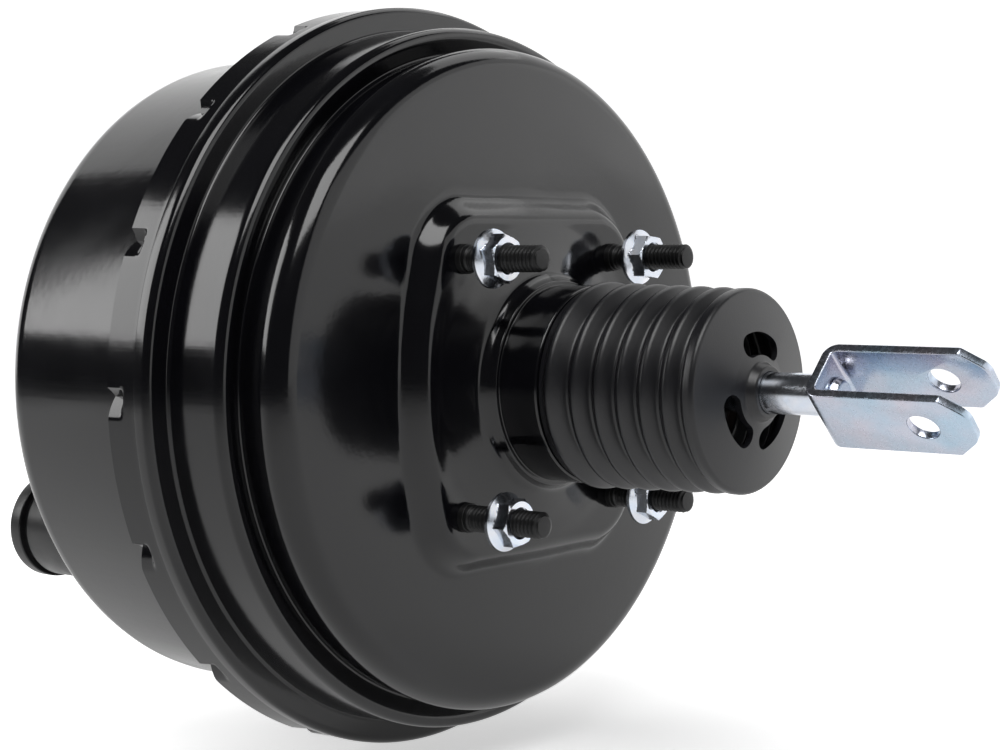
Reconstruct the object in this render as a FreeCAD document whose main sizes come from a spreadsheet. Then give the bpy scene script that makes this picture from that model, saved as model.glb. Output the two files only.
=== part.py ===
import FreeCAD, Part

import math
import os
import re

import Sketcher

# Brake booster: a vacuum servo with two diaphragms, seen from the pedal side.
# The booster's axis is X. The origin is on that axis, in the plane of the firewall mounting face,
# +X points at the brake pedal and +Z is up. All sizes are in millimetres.

Vector = FreeCAD.Vector
Rotation = FreeCAD.Rotation
Placement = FreeCAD.Placement

document = FreeCAD.newDocument("brake_booster")

# Driving dimensions, one group of named sizes after another.
SIZES = {
    # Rear shell, the pedal side pressing
    "shell_wall": 1.6,
    "neck_radius": 29.8,
    "neck_step_x": 7.6,
    "neck_step_radius": 31.2,
    "collar_foot_x": 3.4,
    "collar_foot_radius": 32.2,
    "cove_radius": 43.0,
    "boot_seat_x": 21.5,
    "boot_seat_radius": 27.4,
    "neck_end_x": 28.4,
    "dome_foot_x": -6.4,
    "dome_foot_radius": 56.0,
    "dome_x": -9.2,
    "dome_radius": 103.9,
    "dome_round": 7.0,
    "groove_x": -27.4,
    "groove_radius": 100.8,
    "band_x": -23.4,
    "band_radius": 109.8,
    "band_round": 3.0,
    "rim_x": -46.3,
    "rim_radius": 117.8,
    "rim_round": 2.4,
    "crease_x": -51.9,
    "crease_depth": 0.6,
    "skirt_end_x": -62.8,
    "skirt_end_radius": 118.3,
    # Mounting pad of the rear shell
    "pad_half_height": 51.7,
    "pad_half_width": 57.0,
    "pad_corner_width": 43.0,
    "pad_corner_round": 12.0,
    "pad_side_round": 36.0,
    "pad_depth": 7.6,
    "pad_slope": 5.0,
    # Locking dents around the skirt
    "dent_count": 16,
    "dent_x": -57.8,
    "dent_radius": 9.0,
    "dent_depth": 5.2,
    # Front shell, the engine side pressing
    "front_flange_x": -55.4,
    "front_flange_radius": 115.3,
    "front_wall_radius": 105.1,
    "front_face_x": -130.5,
    "front_corner_round": 11.0,
    "plateau_x": -136.0,
    "plateau_radius": 53.0,
    "plateau_slope": 6.5,
    "plateau_round": 2.5,
    "nose_bore_radius": 20.5,
    "nose_bore_depth": 12.5,
    # Firewall studs and nuts
    "stud_spacing_y": 72.0,
    "stud_spacing_z": 76.2,
    "stud_radius": 3.97,
    "stud_end_x": 29.6,
    "stud_chamfer": 0.9,
    "stud_pilot_radius": 4.4,
    "stud_pilot_length": 2.0,
    "stud_shank_radius": 4.9,
    "stud_head_radius": 7.0,
    "stud_head_height": 2.6,
    "nut_across_flats": 12.7,
    "nut_height": 6.8,
    "nut_flange_radius": 8.65,
    "nut_flange_height": 1.5,
    "nut_flange_slope": 1.3,
    "nut_bore_gap": 0.05,
    "nut_gap_upper_near": 9.9,
    "nut_gap_upper_far": 9.7,
    "nut_gap_lower_near": 13.8,
    "nut_gap_lower_far": 11.5,
    "reinforcement_thickness": 2.5,
    # Master cylinder studs
    "master_spacing": 85.72,
    "master_stud_radius": 4.76,
    "master_stud_length": 25.0,
    "master_shank_radius": 5.2,
    "master_head_radius": 8.0,
    "master_head_height": 3.0,
    # Seals and guides
    "lip_gap": 0.3,
    "guide_gap": 0.06,
    "slide_gap": 0.1,
    "guide_length": 5.6,
    "neck_seal_length": 5.4,
    "seal_washer_thickness": 1.6,
    "front_seal_depth": 4.4,
    # Divider between the two vacuum chambers
    "divider_wall": 1.2,
    "divider_face_x": -57.0,
    "divider_foot_radius": 97.0,
    "divider_bore_radius": 30.0,
    "divider_hub_length": 6.5,
    "bead_thickness": 3.0,
    "bead_inner_radius": 106.0,
    # Diaphragms and the plates behind them
    "rubber_wall": 1.6,
    "plate_wall": 1.2,
    "plate_radius": 94.0,
    "rear_plate_rim": 3.5,
    "front_plate_rim": 10.0,
    "rear_roll_x": -31.0,
    "front_roll_x": -84.0,
    # Power piston body
    "piston_neck_radius": 21.5,
    "piston_end_x": 58.0,
    "filter_bore_radius": 17.5,
    "valve_seat_x": 30.0,
    "seat_height": 0.7,
    "plunger_bore_radius": 11.0,
    "stem_bore_x": 10.0,
    "piston_flange_x": -11.5,
    "piston_flange_radius": 30.0,
    "piston_flange_thickness": 2.5,
    "piston_hub_radius": 24.0,
    "piston_step_x": -64.4,
    "piston_nose_radius": 20.0,
    "piston_front_x": -80.0,
    "reaction_bore_radius": 13.0,
    "reaction_bore_depth": 12.0,
    "reaction_disc_thickness": 6.0,
    "retainer_thickness": 1.2,
    "retainer_width": 6.5,
    "vacuum_passage_radius": 1.7,
    "vacuum_passage_circle": 15.6,
    "vacuum_passage_angle": 60,
    # Plunger and its stop key
    "plunger_end_x": 31.2,
    "plunger_cup_radius": 10.6,
    "plunger_stem_radius": 6.0,
    "plunger_travel": 2.0,
    "plunger_groove_radius": 4.6,
    "key_x": 1.9,
    "key_thickness": 2.0,
    "key_half_width": 9.5,
    "key_reach": 25.0,
    "key_slot_half": 4.75,
    "key_gap": 0.2,
    # Input rod
    "ball_x": 24.0,
    "ball_radius": 6.5,
    "ball_gap": 0.06,
    "ball_neck_radius": 4.2,
    "ball_neck_length": 13.0,
    "cup_mouth_radius": 5.6,
    "rod_radius": 5.9,
    "rod_spigot_radius": 4.5,
    "rod_head_radius": 5.4,
    "rod_head_height": 2.4,
    "turn_gap": 0.06,
    "spring_seat_x": 51.0,
    "spring_seat_radius": 11.4,
    "spring_seat_thickness": 1.2,
    # Clevis
    "clevis_base_x": 100.7,
    "clevis_end_x": 147.5,
    "clevis_outside": 19.3,
    "clevis_width": 21.5,
    "clevis_strap": 2.8,
    "clevis_bend": 4.2,
    "clevis_pin_x": 133.1,
    "clevis_pin_radius": 4.5,
    "clevis_angle": 45.5,
    "clevis_corner_x": 140.8,
    "clevis_tip_half": 4.6,
    "clevis_corner_round": 4.0,
    # Control valve
    "poppet_face": 2.0,
    "poppet_inner_radius": 8.3,
    "poppet_outer_radius": 15.4,
    "poppet_bead_x": 41.0,
    "poppet_wall": 1.0,
    "poppet_spring_radius": 10.6,
    "poppet_spring_wire": 0.45,
    "poppet_spring_turns": 4,
    "rod_spring_radius": 9.2,
    "rod_spring_wire": 0.7,
    "rod_spring_turns": 3,
    # Air filter and silencer
    "filter_inner_radius": 13.6,
    "filter_length": 7.0,
    "silencer_inner_radius": 9.6,
    "silencer_length": 3.2,
    # Output rod
    "output_head_radius": 12.6,
    "output_head_thickness": 5.0,
    "output_rod_radius": 5.5,
    "output_tip_radius": 5.0,
    "output_tip_start_x": -129.0,
    "output_tip_x": -148.0,
    "output_tip_round": 3.0,
    # Return spring
    "return_spring_radius": 31.0,
    "return_spring_wire": 2.0,
    "return_spring_turns": 5,
    # Vacuum check valve
    "check_y": -63.0,
    "check_z": -50.0,
    "grommet_groove_radius": 10.5,
    "grommet_flange_radius": 15.0,
    "grommet_flange_thickness": 3.0,
    "grommet_lip_radius": 13.0,
    "grommet_lip_thickness": 2.5,
    "check_stem_radius": 7.5,
    "check_port_radius": 4.5,
    "check_barb_radius": 8.8,
    "check_barb_length": 4.0,
    "check_cup_radius": 16.4,
    "check_cup_wall": 2.0,
    "check_cup_end_x": -156.4,
    "check_groove_width": 2.6,
    "check_groove_depth": 1.1,
    "check_cover_radius": 17.3,
    "check_cover_x": -162.0,
    "check_spigot_length": 2.4,
    "check_guide_radius": 4.6,
    "check_guide_length": 9.0,
    "check_pin_radius": 2.0,
    "check_pin_length": 12.0,
    "check_seat_gap": 0.3,
    "check_disc_radius": 8.0,
    "check_disc_thickness": 2.0,
    "check_spring_radius": 6.0,
    "check_spring_wire": 0.4,
    "check_spring_turns": 5,
    "nipple_x": -146.5,
    "nipple_radius": 4.75,
    "nipple_bore_radius": 3.1,
    "nipple_end_z": 44.0,
    "nipple_barb_radius": 5.6,
    "nipple_barb_length": 4.4,
    # Dust boot
    "boot_start_x": 21.8,
    "boot_wall": 1.2,
    "boot_collar": 1.9,
    "boot_crest_x": 26.0,
    "boot_crest_radius": 31.6,
    "boot_crest_taper": 0.26,
    "boot_crest_round": 1.7,
    "boot_valley_radius": 26.0,
    "boot_valley_round": 1.2,
    "boot_pitch": 8.85,
    "boot_pitch_loss": 0.172,
    "boot_rim_x": 75.4,
    "boot_rim_radius": 29.4,
    "boot_rim_length": 3.4,
    "boot_rim_round": 1.6,
    "boot_hub_x": 79.2,
    "boot_hub_radius": 8.6,
    "boot_lip_x": 82.0,
    "boot_lip_wall": 1.6,
    "boot_lip_gap": 0.08,
    "vent_outer_radius": 17.1,
    "vent_inner_radius": 10.5,
    "vent_half_angle": 31,
    "vent_round": 2.6,
    "vent_angle_upper": 83,
    "vent_angle_near": 218,
    "vent_angle_far": 309,
}

sheet = document.addObject("Spreadsheet::Sheet", "Sizes")
for row, (alias, number) in enumerate(SIZES.items(), start=1):
    sheet.set(f"A{row}", alias.replace("_", " "))
    sheet.set(f"B{row}", str(number))
    sheet.setAlias(f"B{row}", alias)
document.recompute()

node_objects = []


def cells(text):
    """The expression with every size's name turned into its cell in the sheet."""
    return re.sub(r"[a-z_]+", lambda m: f"Sizes.{m.group()}" if m.group() in SIZES else m.group(), text)


def number(text):
    """What an expression in the sizes' names comes to, in millimetres or degrees."""
    return float(sheet.evalExpression(cells(text)))


def bind(thing, path, text):
    """Ties one property of an object to the sheet."""
    thing.setExpression(path, cells(text))


def node(thing, label):
    """Marks an object as a sub-part of its own, under the name of its file."""
    thing.Label = label
    node_objects.append(thing)
    return thing


def new_body(name):
    return document.addObject("PartDesign::Body", name)


def new_sketch(body, name, plane="XY_Plane", offset="0"):
    """A sketch on one of the body's own origin planes, moved along the plane's normal by an expression."""
    sketch = body.newObject("Sketcher::SketchObject", name)
    support = next(f for f in body.Origin.OriginFeatures if f.Role == plane)
    sketch.AttachmentSupport = [(support, "")]
    sketch.MapMode = "FlatFace"
    bind(sketch, "AttachmentOffset.Base.z", offset)
    return sketch


def tie(sketch, constraint, text):
    """Adds a constraint whose value is an expression."""
    index = sketch.addConstraint(constraint)
    sketch.setExpression(f"Constraints[{index}]", cells(text))


def tie_point(sketch, geometry, vertex, across, up, at):
    """Holds a point of the sketch at two expressions from its origin."""
    if across == "0":
        sketch.addConstraint(Sketcher.Constraint("PointOnObject", geometry, vertex, -2))
    else:
        tie(sketch, Sketcher.Constraint("DistanceX", -1, 1, geometry, vertex, at.x), across)
    if up == "0":
        sketch.addConstraint(Sketcher.Constraint("PointOnObject", geometry, vertex, -1))
    else:
        tie(sketch, Sketcher.Constraint("DistanceY", -1, 1, geometry, vertex, at.y), up)


def heading(corner, other):
    """The angle of the way from one corner to another, as an expression."""
    return f"atan2({other[1]} - ({corner[1]}); {other[0]} - ({corner[0]}))"


def corner_ends(corners, i):
    """Where the outline reaches and leaves a corner: twice the corner itself, or the ends of its rounding."""
    corner = corners[i]
    if len(corner) < 3:
        return [corner, corner]
    back = heading(corner, corners[i - 1])
    ahead = heading(corner, corners[(i + 1) % len(corners)])
    reach = f"({corner[2]}) / abs(tan(({back} - {ahead}) / 2))"
    return [
        (f"{corner[0]} + {reach} * cos({way})", f"{corner[1]} + {reach} * sin({way})")
        for way in (back, ahead)
    ]


def outline(sketch, corners):
    """A closed outline through corners of (across, up) or (across, up, rounding), all expressions."""
    count = len(corners)
    ends = [corner_ends(corners, i) for i in range(count)]
    points = [[Vector(number(across), number(up), 0) for across, up in pair] for pair in ends]
    lines = [
        sketch.addGeometry(Part.LineSegment(points[i][1], points[(i + 1) % count][0]), False)
        for i in range(count)
    ]
    for i, corner in enumerate(corners):
        tie_point(sketch, lines[i], 1, *ends[i][1], points[i][1])
        if len(corner) < 3:
            sketch.addConstraint(Sketcher.Constraint("Coincident", lines[i - 1], 2, lines[i], 1))
            continue
        tie_point(sketch, lines[i - 1], 2, *ends[i][0], points[i][0])
        at = Vector(number(corner[0]), number(corner[1]), 0)
        inward = ((points[i][0] - at) + (points[i][1] - at)).normalize()
        half_turn = (points[i][0] - at).getAngle(inward)
        radius = number(corner[2])
        middle = at + inward * (radius / math.sin(half_turn) - radius)
        ways = [(points[i][0], lines[i - 1], 2), (points[i][1], lines[i], 1)]
        if (middle - points[i][0]).cross(points[i][1] - middle).z < 0:
            ways.reverse()
        arc = sketch.addGeometry(Part.Arc(ways[0][0], middle, ways[1][0]), False)
        for vertex, (_, line, line_vertex) in enumerate(ways, start=1):
            sketch.addConstraint(Sketcher.Constraint("Coincident", line, line_vertex, arc, vertex))
        tie(sketch, Sketcher.Constraint("Radius", arc, radius), corner[2])
    return sketch


def circle(sketch, across, up, radius):
    """A circle whose centre and radius are expressions."""
    centre = Vector(number(across), number(up), 0)
    ring = sketch.addGeometry(Part.Circle(centre, Vector(0, 0, 1), number(radius)), False)
    tie_point(sketch, ring, 3, across, up, centre)
    tie(sketch, Sketcher.Constraint("Radius", ring, number(radius)), radius)
    return sketch


def eased(corners):
    """The same corners with each rounding laid out as flats on its arc, more of them on a larger one."""
    points = []
    for i, corner in enumerate(corners):
        if len(corner) < 3:
            points.append(corner)
            continue
        radius = number(corner[2])
        flats = 1 + sum(radius >= step for step in (1.5, 4, 9))
        before, after = corners[i - 1], corners[(i + 1) % len(corners)]
        back, ahead = heading(corner, before), heading(corner, after)
        opening = f"2 * atan(abs(tan(({back} - {ahead}) / 2)))"
        reach = f"({corner[2]}) / tan({opening} / 2)"
        turn = 1 if math.sin(math.radians(number(ahead) - number(back))) > 0 else -1
        for k in range(flats + 1):
            way = f"({back} - {turn} * 90 deg - {turn} * (180 deg - {opening}) * {k} / {flats})"
            points.append(
                tuple(
                    f"{corner[axis]} + {reach} * {wave}({back})"
                    f" + ({corner[2]}) * ({wave}({back} + {turn} * 90 deg) + {wave}{way})"
                    for axis, wave in enumerate(("cos", "sin"))
                )
            )
    return points


def add_turned(body, name, corners):
    """A ring turned from a half section in the XY plane, about the X axis."""
    sketch = outline(new_sketch(body, f"{name}_section"), eased(corners))
    turned = body.newObject("PartDesign::Revolution", name)
    turned.Profile = sketch
    turned.ReferenceAxis = (sketch, ["H_Axis"])
    turned.Angle = 360
    sketch.Visibility = False
    return turned


def turned_body(label, corners):
    """A whole sub-part that is one turned ring."""
    body = new_body(label)
    add_turned(body, f"{label}_turned", corners)
    return node(body, label)


def cut(body, name, sketch, length, reverse=False, midplane=False):
    """Cuts a sketch's outlines into the body."""
    before = volume_of(body)
    pocket = body.newObject("PartDesign::Pocket", name)
    pocket.Profile = sketch
    pocket.Reversed = reverse
    pocket.Midplane = midplane
    bind(pocket, "Length", length)
    document.recompute()
    if volume_of(body) >= before:
        raise ValueError(f"{name} cuts nothing")
    return pocket


def raise_pad(body, name, sketch, length, reverse=False, midplane=False):
    """Raises a sketch's outlines out of its plane."""
    pad = body.newObject("PartDesign::Pad", name)
    pad.Profile = sketch
    pad.Reversed = reverse
    pad.Midplane = midplane
    bind(pad, "Length", length)
    return pad


def volume_of(body):
    document.recompute()
    return body.Shape.Volume


def ring_pattern(body, name, feature, count):
    """Repeats a feature evenly about the X axis."""
    pattern = body.newObject("PartDesign::PolarPattern", name)
    pattern.Originals = [feature]
    pattern.Axis = (next(f for f in body.Origin.OriginFeatures if f.Role == "X_Axis"), [""])
    pattern.Angle = 360
    bind(pattern, "Occurrences", count)
    body.Tip = pattern
    return pattern


def set_at(body, across, up):
    """Moves a body off the booster's axis."""
    bind(body, "Placement.Base.y", across)
    bind(body, "Placement.Base.z", up)
    return body


def group(label, members):
    """Like pieces kept under one name as separate solids."""
    together = document.addObject("Part::Compound", label)
    together.Links = members
    return node(together, label)


def coil(label, start, end, radius, wire, turns):
    """A helical spring along X from one seat to the other, its wire eight-sided to keep the mesh light."""
    helix = document.addObject("Part::Helix", f"{label}_line")
    bind(helix, "Radius", radius)
    bind(helix, "Height", f"abs({end} - ({start})) - 2 * {wire}")
    bind(helix, "Pitch", f"(abs({end} - ({start})) - 2 * {wire}) / {turns}")
    helix.Placement = Placement(Vector(), Rotation(Vector(0, 1, 0), 90))
    bind(helix, "Placement.Base.x", f"min({start}; {end}) + {wire}")
    section = document.addObject("Part::RegularPolygon", f"{label}_wire")
    section.Polygon = 8
    bind(section, "Circumradius", wire)
    section.Placement = Placement(Vector(), Rotation(Vector(1, 0, 0), 90))
    bind(section, "Placement.Base.x", f"min({start}; {end}) + {wire}")
    bind(section, "Placement.Base.z", f"-{radius}")
    sweep = document.addObject("Part::Sweep", label)
    sweep.Sections = [section]
    sweep.Spine = (helix, ["Edge1"])
    sweep.Solid = True
    sweep.Frenet = True
    return node(sweep, label)


# Rear shell: the drawn pedal side pressing with its neck, pad, band and crimped skirt.

NECK_BORE = "(neck_radius - shell_wall)"
SEAT_BORE = "(boot_seat_radius - shell_wall)"
INNER_FACE = "(-shell_wall)"
BAND_BORE = "(band_radius - shell_wall)"
RIM_FACE = "(rim_x - shell_wall)"
SKIRT_BORE = "(rim_radius - shell_wall - crease_depth)"

# The two walls of the groove lean, so their backs meet deeper than the wall is thick.
BAND_LEAN = "((band_x - groove_x) / (band_radius - groove_radius))"
DOME_LEAN = "((dome_radius - groove_radius) / (dome_x - groove_x))"
BAND_WALL = f"(shell_wall * sqrt(1 + {BAND_LEAN} ^ 2))"
DOME_WALL = f"(shell_wall * sqrt(1 + {DOME_LEAN} ^ 2))"
GROOVE_BACK = f"(({BAND_WALL} + {BAND_LEAN} * {DOME_WALL}) / (1 - {BAND_LEAN} * {DOME_LEAN}))"
GROOVE_BACK_X = f"(groove_x - {GROOVE_BACK})"
GROOVE_BACK_RADIUS = f"(groove_radius - {DOME_WALL} - {GROOVE_BACK} * {DOME_LEAN})"

rear_pressing = new_body("rear_pressing")
add_turned(
    rear_pressing,
    "rear_wall",
    [
        ("neck_end_x", "boot_seat_radius"),
        ("boot_seat_x", "boot_seat_radius"),
        ("boot_seat_x", "neck_radius"),
        ("neck_step_x", "neck_radius"),
        ("neck_step_x", "neck_step_radius"),
        ("collar_foot_x", "collar_foot_radius", "2.5"),
        ("0", "cove_radius"),
        ("0", "dome_foot_radius - 8"),
        ("dome_foot_x", "dome_foot_radius - 2"),
        ("dome_x", "dome_radius", "dome_round"),
        ("groove_x", "groove_radius"),
        ("band_x", "band_radius", "band_round"),
        ("rim_x", "band_radius"),
        ("rim_x", "rim_radius", "rim_round"),
        ("crease_x", "rim_radius"),
        ("crease_x - 0.3", "rim_radius - crease_depth"),
        ("skirt_end_x", "skirt_end_radius"),
        ("skirt_end_x", "skirt_end_radius - shell_wall"),
        ("crease_x - 0.3", SKIRT_BORE),
        (RIM_FACE, SKIRT_BORE),
        (RIM_FACE, BAND_BORE),
        (f"band_x - {BAND_WALL} - {BAND_LEAN} * shell_wall", BAND_BORE, "band_round - shell_wall"),
        (GROOVE_BACK_X, GROOVE_BACK_RADIUS, "shell_wall"),
        ("dome_x - shell_wall", "dome_radius - shell_wall", "dome_round - shell_wall"),
        ("dome_foot_x - shell_wall", "dome_foot_radius - 2 - shell_wall"),
        (INNER_FACE, "dome_foot_radius - 8 - shell_wall"),
        (INNER_FACE, "cove_radius - 0.5"),
        ("collar_foot_x - 1", "collar_foot_radius - shell_wall"),
        ("neck_step_x - shell_wall", "neck_step_radius - shell_wall"),
        ("neck_step_x - shell_wall", NECK_BORE),
        ("boot_seat_x - shell_wall", NECK_BORE),
        ("boot_seat_x - shell_wall", SEAT_BORE),
        ("neck_end_x", SEAT_BORE),
    ],
)


def pad_outline(sketch, grow):
    """The pad's outline across the booster, a block with flat top and bottom and bulging sides."""
    corner = (f"pad_corner_width + {grow}", f"pad_half_height + {grow}", f"pad_corner_round + {grow}")
    side = (f"pad_half_width + {grow}", "0", f"pad_side_round + {grow}")
    return outline(
        sketch,
        [
            corner,
            side,
            (corner[0], f"-({corner[1]})", corner[2]),
            (f"-({corner[0]})", f"-({corner[1]})", corner[2]),
            (f"-({side[0]})", "0", side[2]),
            (f"-({corner[0]})", corner[1], corner[2]),
        ],
    )


def pad_block(body, name, face_x, grow):
    """A block under the pad's outline whose edge slopes away all around, down through the dome."""
    foot = pad_outline(new_sketch(body, f"{name}_foot", "YZ_Plane", face_x), f"{grow} + pad_slope")
    block = raise_pad(body, f"{name}_block", foot, "pad_depth", reverse=True)
    document.recompute()
    face = number(face_x)
    rim = [
        f"Edge{k}"
        for k, edge in enumerate(block.Shape.Edges, start=1)
        if all(abs(vertex.X - face) < 1e-6 for vertex in edge.Vertexes)
    ]
    slope = body.newObject("PartDesign::Chamfer", f"{name}_slope")
    slope.Base = (block, rim)
    slope.ChamferType = "Two distances"
    bind(slope, "Size", "pad_slope")
    bind(slope, "Size2", "pad_depth - 0.2")
    body.Tip = slope
    return slope


def stud_places():
    """Where the four firewall studs stand, near being the side of the view, minus Y."""
    for height, up in (("upper", "stud_spacing_z / 2"), ("lower", "-stud_spacing_z / 2")):
        for side, across in (("near", "-stud_spacing_y / 2"), ("far", "stud_spacing_y / 2")):
            yield f"{height}_{side}", across, up


PAD_INSIDE = "(shell_wall * (pad_slope / pad_depth - 1 / cos(atan(pad_slope / pad_depth))))"

pad_cap = new_body("pad_cap")
pad_block(pad_cap, "pad_cap", "0", "0")
throat = circle(new_sketch(pad_cap, "pad_throat", "YZ_Plane"), "0", "0", "cove_radius - 0.5")
cut(pad_cap, "pad_throat_cut", throat, "pad_depth")

# What the pressing leaves open behind the pad: the pad's hollow and the four holes for the studs.
pad_hollow = new_body("pad_hollow")
pad_block(pad_hollow, "pad_hollow", INNER_FACE, PAD_INSIDE)
stud_holes = new_sketch(pad_hollow, "stud_holes", "YZ_Plane", INNER_FACE)
for place, across, up in stud_places():
    circle(stud_holes, across, up, "stud_shank_radius")
raise_pad(pad_hollow, "stud_hole_pins", stud_holes, "shell_wall + 1")

# The skirt is lanced inwards at each dent, which locks it behind the front shell's flange.
DENT_CENTRE = "-(skirt_end_radius + dent_radius - dent_depth)"
tab = circle(
    new_sketch(rear_pressing, "dent_tab", "YZ_Plane", "dent_x"), DENT_CENTRE, "0", "dent_radius + shell_wall"
)
tab_pad = raise_pad(rear_pressing, "dent_tab_pad", tab, "dent_x - skirt_end_x", reverse=True)
ring_pattern(rear_pressing, "dent_tabs", tab_pad, "dent_count")
punch = circle(new_sketch(rear_pressing, "dent_punch", "YZ_Plane", "dent_x"), DENT_CENTRE, "0", "dent_radius")
punch_cut = cut(rear_pressing, "dent_punch_cut", punch, "dent_x - skirt_end_x + 1")
ring_pattern(rear_pressing, "dent_punches", punch_cut, "dent_count")
trim = outline(
    new_sketch(rear_pressing, "skirt_trim_section"),
    [
        ("crease_x - 0.3", "rim_radius - crease_depth"),
        ("skirt_end_x", "skirt_end_radius"),
        ("skirt_end_x - 1", "skirt_end_radius"),
        ("skirt_end_x - 1", "skirt_end_radius + 3 * dent_radius"),
        ("crease_x - 0.3", "skirt_end_radius + 3 * dent_radius"),
    ],
)
skirt_trim = rear_pressing.newObject("PartDesign::Groove", "skirt_trim")
skirt_trim.Profile = trim
skirt_trim.ReferenceAxis = (trim, ["H_Axis"])
skirt_trim.Angle = 360

padded = document.addObject("Part::Fuse", "padded_pressing")
padded.Base = rear_pressing
padded.Tool = pad_cap
rear_shell = document.addObject("Part::Cut", "rear_shell")
rear_shell.Base = padded
rear_shell.Tool = pad_hollow
node(rear_shell, "rear_shell")

# Plate behind the pad that spreads the load of the firewall studs.

PLATE_BACK = "(-shell_wall - reinforcement_thickness)"

rear_plate = new_body("rear_reinforcement_plate")
plate_sketch = pad_outline(
    new_sketch(rear_plate, "plate_outline", "YZ_Plane", INNER_FACE), "(-shell_wall - 1.5)"
)
circle(plate_sketch, "0", "0", "cove_radius + 1.5")
for place, across, up in stud_places():
    circle(plate_sketch, across, up, "stud_shank_radius")
raise_pad(rear_plate, "plate_pad", plate_sketch, "reinforcement_thickness", reverse=True)
node(rear_plate, "rear_reinforcement_plate")

# Firewall studs: a head inside, a shank pressed through plate and shell, a plain pilot on which the
# firewall's holes locate, and the threaded end.

studs = []
for place, across, up in stud_places():
    stud = new_body(f"stud_{place}")
    add_turned(
        stud,
        f"stud_{place}_turned",
        [
            (f"{PLATE_BACK} - stud_head_height", "0"),
            ("stud_end_x", "0"),
            ("stud_end_x", "stud_radius - stud_chamfer"),
            ("stud_end_x - stud_chamfer", "stud_radius"),
            ("stud_pilot_length", "stud_radius"),
            ("stud_pilot_length", "stud_pilot_radius"),
            ("0", "stud_pilot_radius"),
            ("0", "stud_shank_radius"),
            (PLATE_BACK, "stud_shank_radius"),
            (PLATE_BACK, "stud_head_radius"),
            (f"{PLATE_BACK} - stud_head_height", "stud_head_radius", "0.8"),
        ],
    )
    studs.append(set_at(stud, across, up))
group("firewall_studs", studs)

# Flange nuts, run loosely onto the studs to different depths.

HEX_CORNER = "(nut_across_flats / 2 / cos(30))"
NUT_BORE = "(stud_radius + nut_bore_gap)"

nuts = []
for place, across, up in stud_places():
    nut = new_body(f"nut_{place}")
    hexagon = new_sketch(nut, f"nut_{place}_hexagon", "YZ_Plane")
    outline(
        hexagon,
        [(f"{HEX_CORNER} * cos({60 * k + 30})", f"{HEX_CORNER} * sin({60 * k + 30})") for k in range(6)],
    )
    raise_pad(nut, f"nut_{place}_block", hexagon, "nut_height")
    add_turned(
        nut,
        f"nut_{place}_flange",
        [
            ("0", "0"),
            ("0", "nut_flange_radius"),
            ("nut_flange_height", "nut_flange_radius", "0.5"),
            ("nut_flange_height + nut_flange_slope", HEX_CORNER),
            ("nut_flange_height + nut_flange_slope", "0"),
        ],
    )
    crown = outline(
        new_sketch(nut, f"nut_{place}_crown"),
        [
            ("nut_height + 0.1", f"{HEX_CORNER} - 1.1"),
            ("nut_height", f"{HEX_CORNER} - 1.1"),
            ("nut_height - 0.8", f"{HEX_CORNER} + 0.1"),
            ("nut_height + 0.1", f"{HEX_CORNER} + 0.1"),
        ],
    )
    chamfer = nut.newObject("PartDesign::Groove", f"nut_{place}_chamfer")
    chamfer.Profile = crown
    chamfer.ReferenceAxis = (crown, ["H_Axis"])
    chamfer.Angle = 360
    bore = circle(new_sketch(nut, f"nut_{place}_bore", "YZ_Plane"), "0", "0", NUT_BORE)
    cut(nut, f"nut_{place}_bore_cut", bore, "nut_height + 1", reverse=True)
    bind(nut, "Placement.Base.x", f"nut_gap_{place}")
    nuts.append(set_at(nut, across, up))
group("flange_nuts", nuts)

# Neck guide, seal and the washer that keeps them in the neck.

GUIDE_END = "(boot_seat_x - shell_wall)"
GUIDE_START = f"({GUIDE_END} - guide_length)"
WASHER_END = "(neck_step_x - shell_wall)"
COLLAR_BORE = "(neck_step_radius - shell_wall)"

turned_body(
    "neck_guide",
    [
        (GUIDE_START, "piston_neck_radius + guide_gap"),
        (GUIDE_START, NECK_BORE),
        (GUIDE_END, NECK_BORE),
        (GUIDE_END, "piston_neck_radius + guide_gap"),
    ],
)
turned_body(
    "neck_seal",
    [
        (GUIDE_START, "piston_neck_radius + 2.5"),
        (GUIDE_START, NECK_BORE),
        (f"{GUIDE_START} - neck_seal_length", NECK_BORE),
        (f"{GUIDE_START} - neck_seal_length", f"{NECK_BORE} - 2"),
        (f"{GUIDE_START} - 1.6", f"{NECK_BORE} - 2"),
        (f"{GUIDE_START} - 1.6", "piston_neck_radius + 2.2"),
        (f"{GUIDE_START} - neck_seal_length", "piston_neck_radius + 1.6"),
        (f"{GUIDE_START} - neck_seal_length", "piston_neck_radius + lip_gap"),
    ],
)
turned_body(
    "seal_washer",
    [
        (WASHER_END, "piston_neck_radius + 1.2"),
        (WASHER_END, COLLAR_BORE),
        (f"{WASHER_END} - seal_washer_thickness", f"{COLLAR_BORE}"),
        (f"{WASHER_END} - seal_washer_thickness", "piston_neck_radius + 1.2"),
    ],
)

# Front shell: the engine side pressing. Its flange sits in the skirt, held by the dents.

FRONT_BORE = "(front_wall_radius - shell_wall)"
FRONT_INSIDE = "(front_face_x + shell_wall)"
PLATEAU_INSIDE = "(plateau_x + shell_wall)"
NOSE_WALL = "(nose_bore_radius + shell_wall)"
NOSE_DEPTH = "(plateau_x + nose_bore_depth)"

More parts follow.
